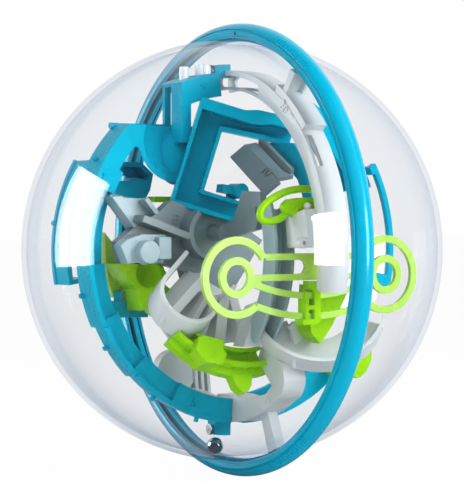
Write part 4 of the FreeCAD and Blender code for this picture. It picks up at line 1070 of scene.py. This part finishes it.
def white_world(scene, fill, front):
    """White to the camera and, behind the maze, in mirrors; lights the maze at fill."""
    world = bpy.data.worlds.new("Studio")
    scene.world = world
    world.use_nodes = True
    tree = world.node_tree
    tree.nodes.clear()
    out = tree.nodes.new("ShaderNodeOutputWorld")
    path = tree.nodes.new("ShaderNodeLightPath")
    place = tree.nodes.new("ShaderNodeTexCoord")
    white = backdrop_share(tree, place.outputs["Generated"], front)
    mirrored = joined(tree, "MULTIPLY", path.outputs["Is Glossy Ray"], white)
    seen = joined(tree, "MAXIMUM", path.outputs["Is Camera Ray"],
                  path.outputs["Is Transmission Ray"])
    lit = joined(tree, "MULTIPLY", path.outputs["Is Diffuse Ray"], fill)
    total = joined(tree, "MAXIMUM", joined(tree, "MAXIMUM", seen, mirrored), lit)
    sky = tree.nodes.new("ShaderNodeBackground")
    sky.inputs["Color"].default_value = (1, 1, 1, 1)
    tree.links.new(total, sky.inputs["Strength"])
    tree.links.new(sky.outputs[0], out.inputs[0])


def softbox(name, direction, distance, width, height, energy, lights, mirrored):
    """Area lamp that faces the maze from a direction."""
    data = bpy.data.lights.new(name, "AREA")
    data.shape = "RECTANGLE"
    data.size, data.size_y = width, height
    data.energy = energy
    lamp = bpy.data.objects.new(name, data)
    lamp.visible_diffuse = lights
    lamp.visible_glossy = mirrored
    bpy.context.collection.objects.link(lamp)
    lamp.location = direction.normalized() * distance
    lamp.rotation_euler = direction.to_track_quat("Z", "Y").to_euler()


class MAZE_OT_stage(bpy.types.Operator):
    """White floor, soft lamps and the camera"""

    bl_idname = "tilt_maze.stage"
    bl_label = "Stage"

    def execute(self, context):
        scene = context.scene
        studio = scene.maze_studio
        low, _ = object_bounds()
        azimuth, elevation = studio.azimuth, studio.elevation
        back = Vector((math.sin(azimuth) * math.cos(elevation),
                       -math.cos(azimuth) * math.cos(elevation), math.sin(elevation)))
        right = Vector((math.cos(azimuth), math.sin(azimuth), 0))
        up = back.cross(right)
        stage_plane("floor", FLOOR_SIZE, Matrix.Translation((0, 0, low.z - FLOOR_GAP)),
                    white_floor("White floor", back))
        white_world(scene, WORLD_FILL, back)
        for (name, by_back, by_right, by_up, distance, width, height, energy, lights,
             mirrored) in LAMPS:
            softbox(name, back * by_back + right * by_right + up * by_up, distance, width,
                    height, energy * studio.level, lights, mirrored)
        camera = bpy.data.cameras.new("Camera")
        camera.lens = studio.lens
        camera.sensor_width = SENSOR_WIDTH
        holder = bpy.data.objects.new("Camera", camera)
        bpy.context.collection.objects.link(holder)
        holder.location = back * studio.distance
        holder.rotation_euler = back.to_track_quat("Z", "Y").to_euler()
        scene.camera = holder
        scene.view_settings.view_transform = "Standard"
        return {"FINISHED"}


class MAZE_PT_panel(bpy.types.Panel):
    """Buttons that build the maze"""

    bl_label = "Tilt Maze"
    bl_idname = "MAZE_PT_panel"
    bl_space_type = "VIEW_3D"
    bl_region_type = "UI"
    bl_category = "Tilt Maze"

    def draw(self, context):
        for operator in OPERATORS:
            self.layout.operator(operator.bl_idname)


OPERATORS = (MAZE_OT_shells, MAZE_OT_ring, MAZE_OT_ribs, MAZE_OT_tracks, MAZE_OT_posts,
             MAZE_OT_bow, MAZE_OT_seats, MAZE_OT_pegs, MAZE_OT_marks, MAZE_OT_metal,
             MAZE_OT_stage)
GROUPS = {"maze_sizes": MazeSizes, "maze_colours": MazeColours, "maze_studio": MazeStudio}


def register():
    """Makes the settings, the operators and the panel known to Blender."""
    for group in GROUPS.values():
        bpy.utils.register_class(group)
    for operator in OPERATORS:
        bpy.utils.register_class(operator)
    bpy.utils.register_class(MAZE_PT_panel)
    for name, group in GROUPS.items():
        setattr(bpy.types.Scene, name, PointerProperty(type=group))


def unregister():
    """Takes away what register made known."""
    for name in GROUPS:
        delattr(bpy.types.Scene, name)
    bpy.utils.unregister_class(MAZE_PT_panel)
    for operator in reversed(OPERATORS):
        bpy.utils.unregister_class(operator)
    for group in GROUPS.values():
        bpy.utils.unregister_class(group)


def main():
    """Builds the whole maze and its stage."""
    register()
    bpy.ops.tilt_maze.shells()
    bpy.ops.tilt_maze.ring()
    bpy.ops.tilt_maze.ribs()
    bpy.ops.tilt_maze.tracks()
    bpy.ops.tilt_maze.posts()
    bpy.ops.tilt_maze.bow()
    bpy.ops.tilt_maze.seats()
    bpy.ops.tilt_maze.pegs()
    bpy.ops.tilt_maze.marks()
    bpy.ops.tilt_maze.metal()
    bpy.ops.tilt_maze.stage()


if __name__ == "__main__":
    main()
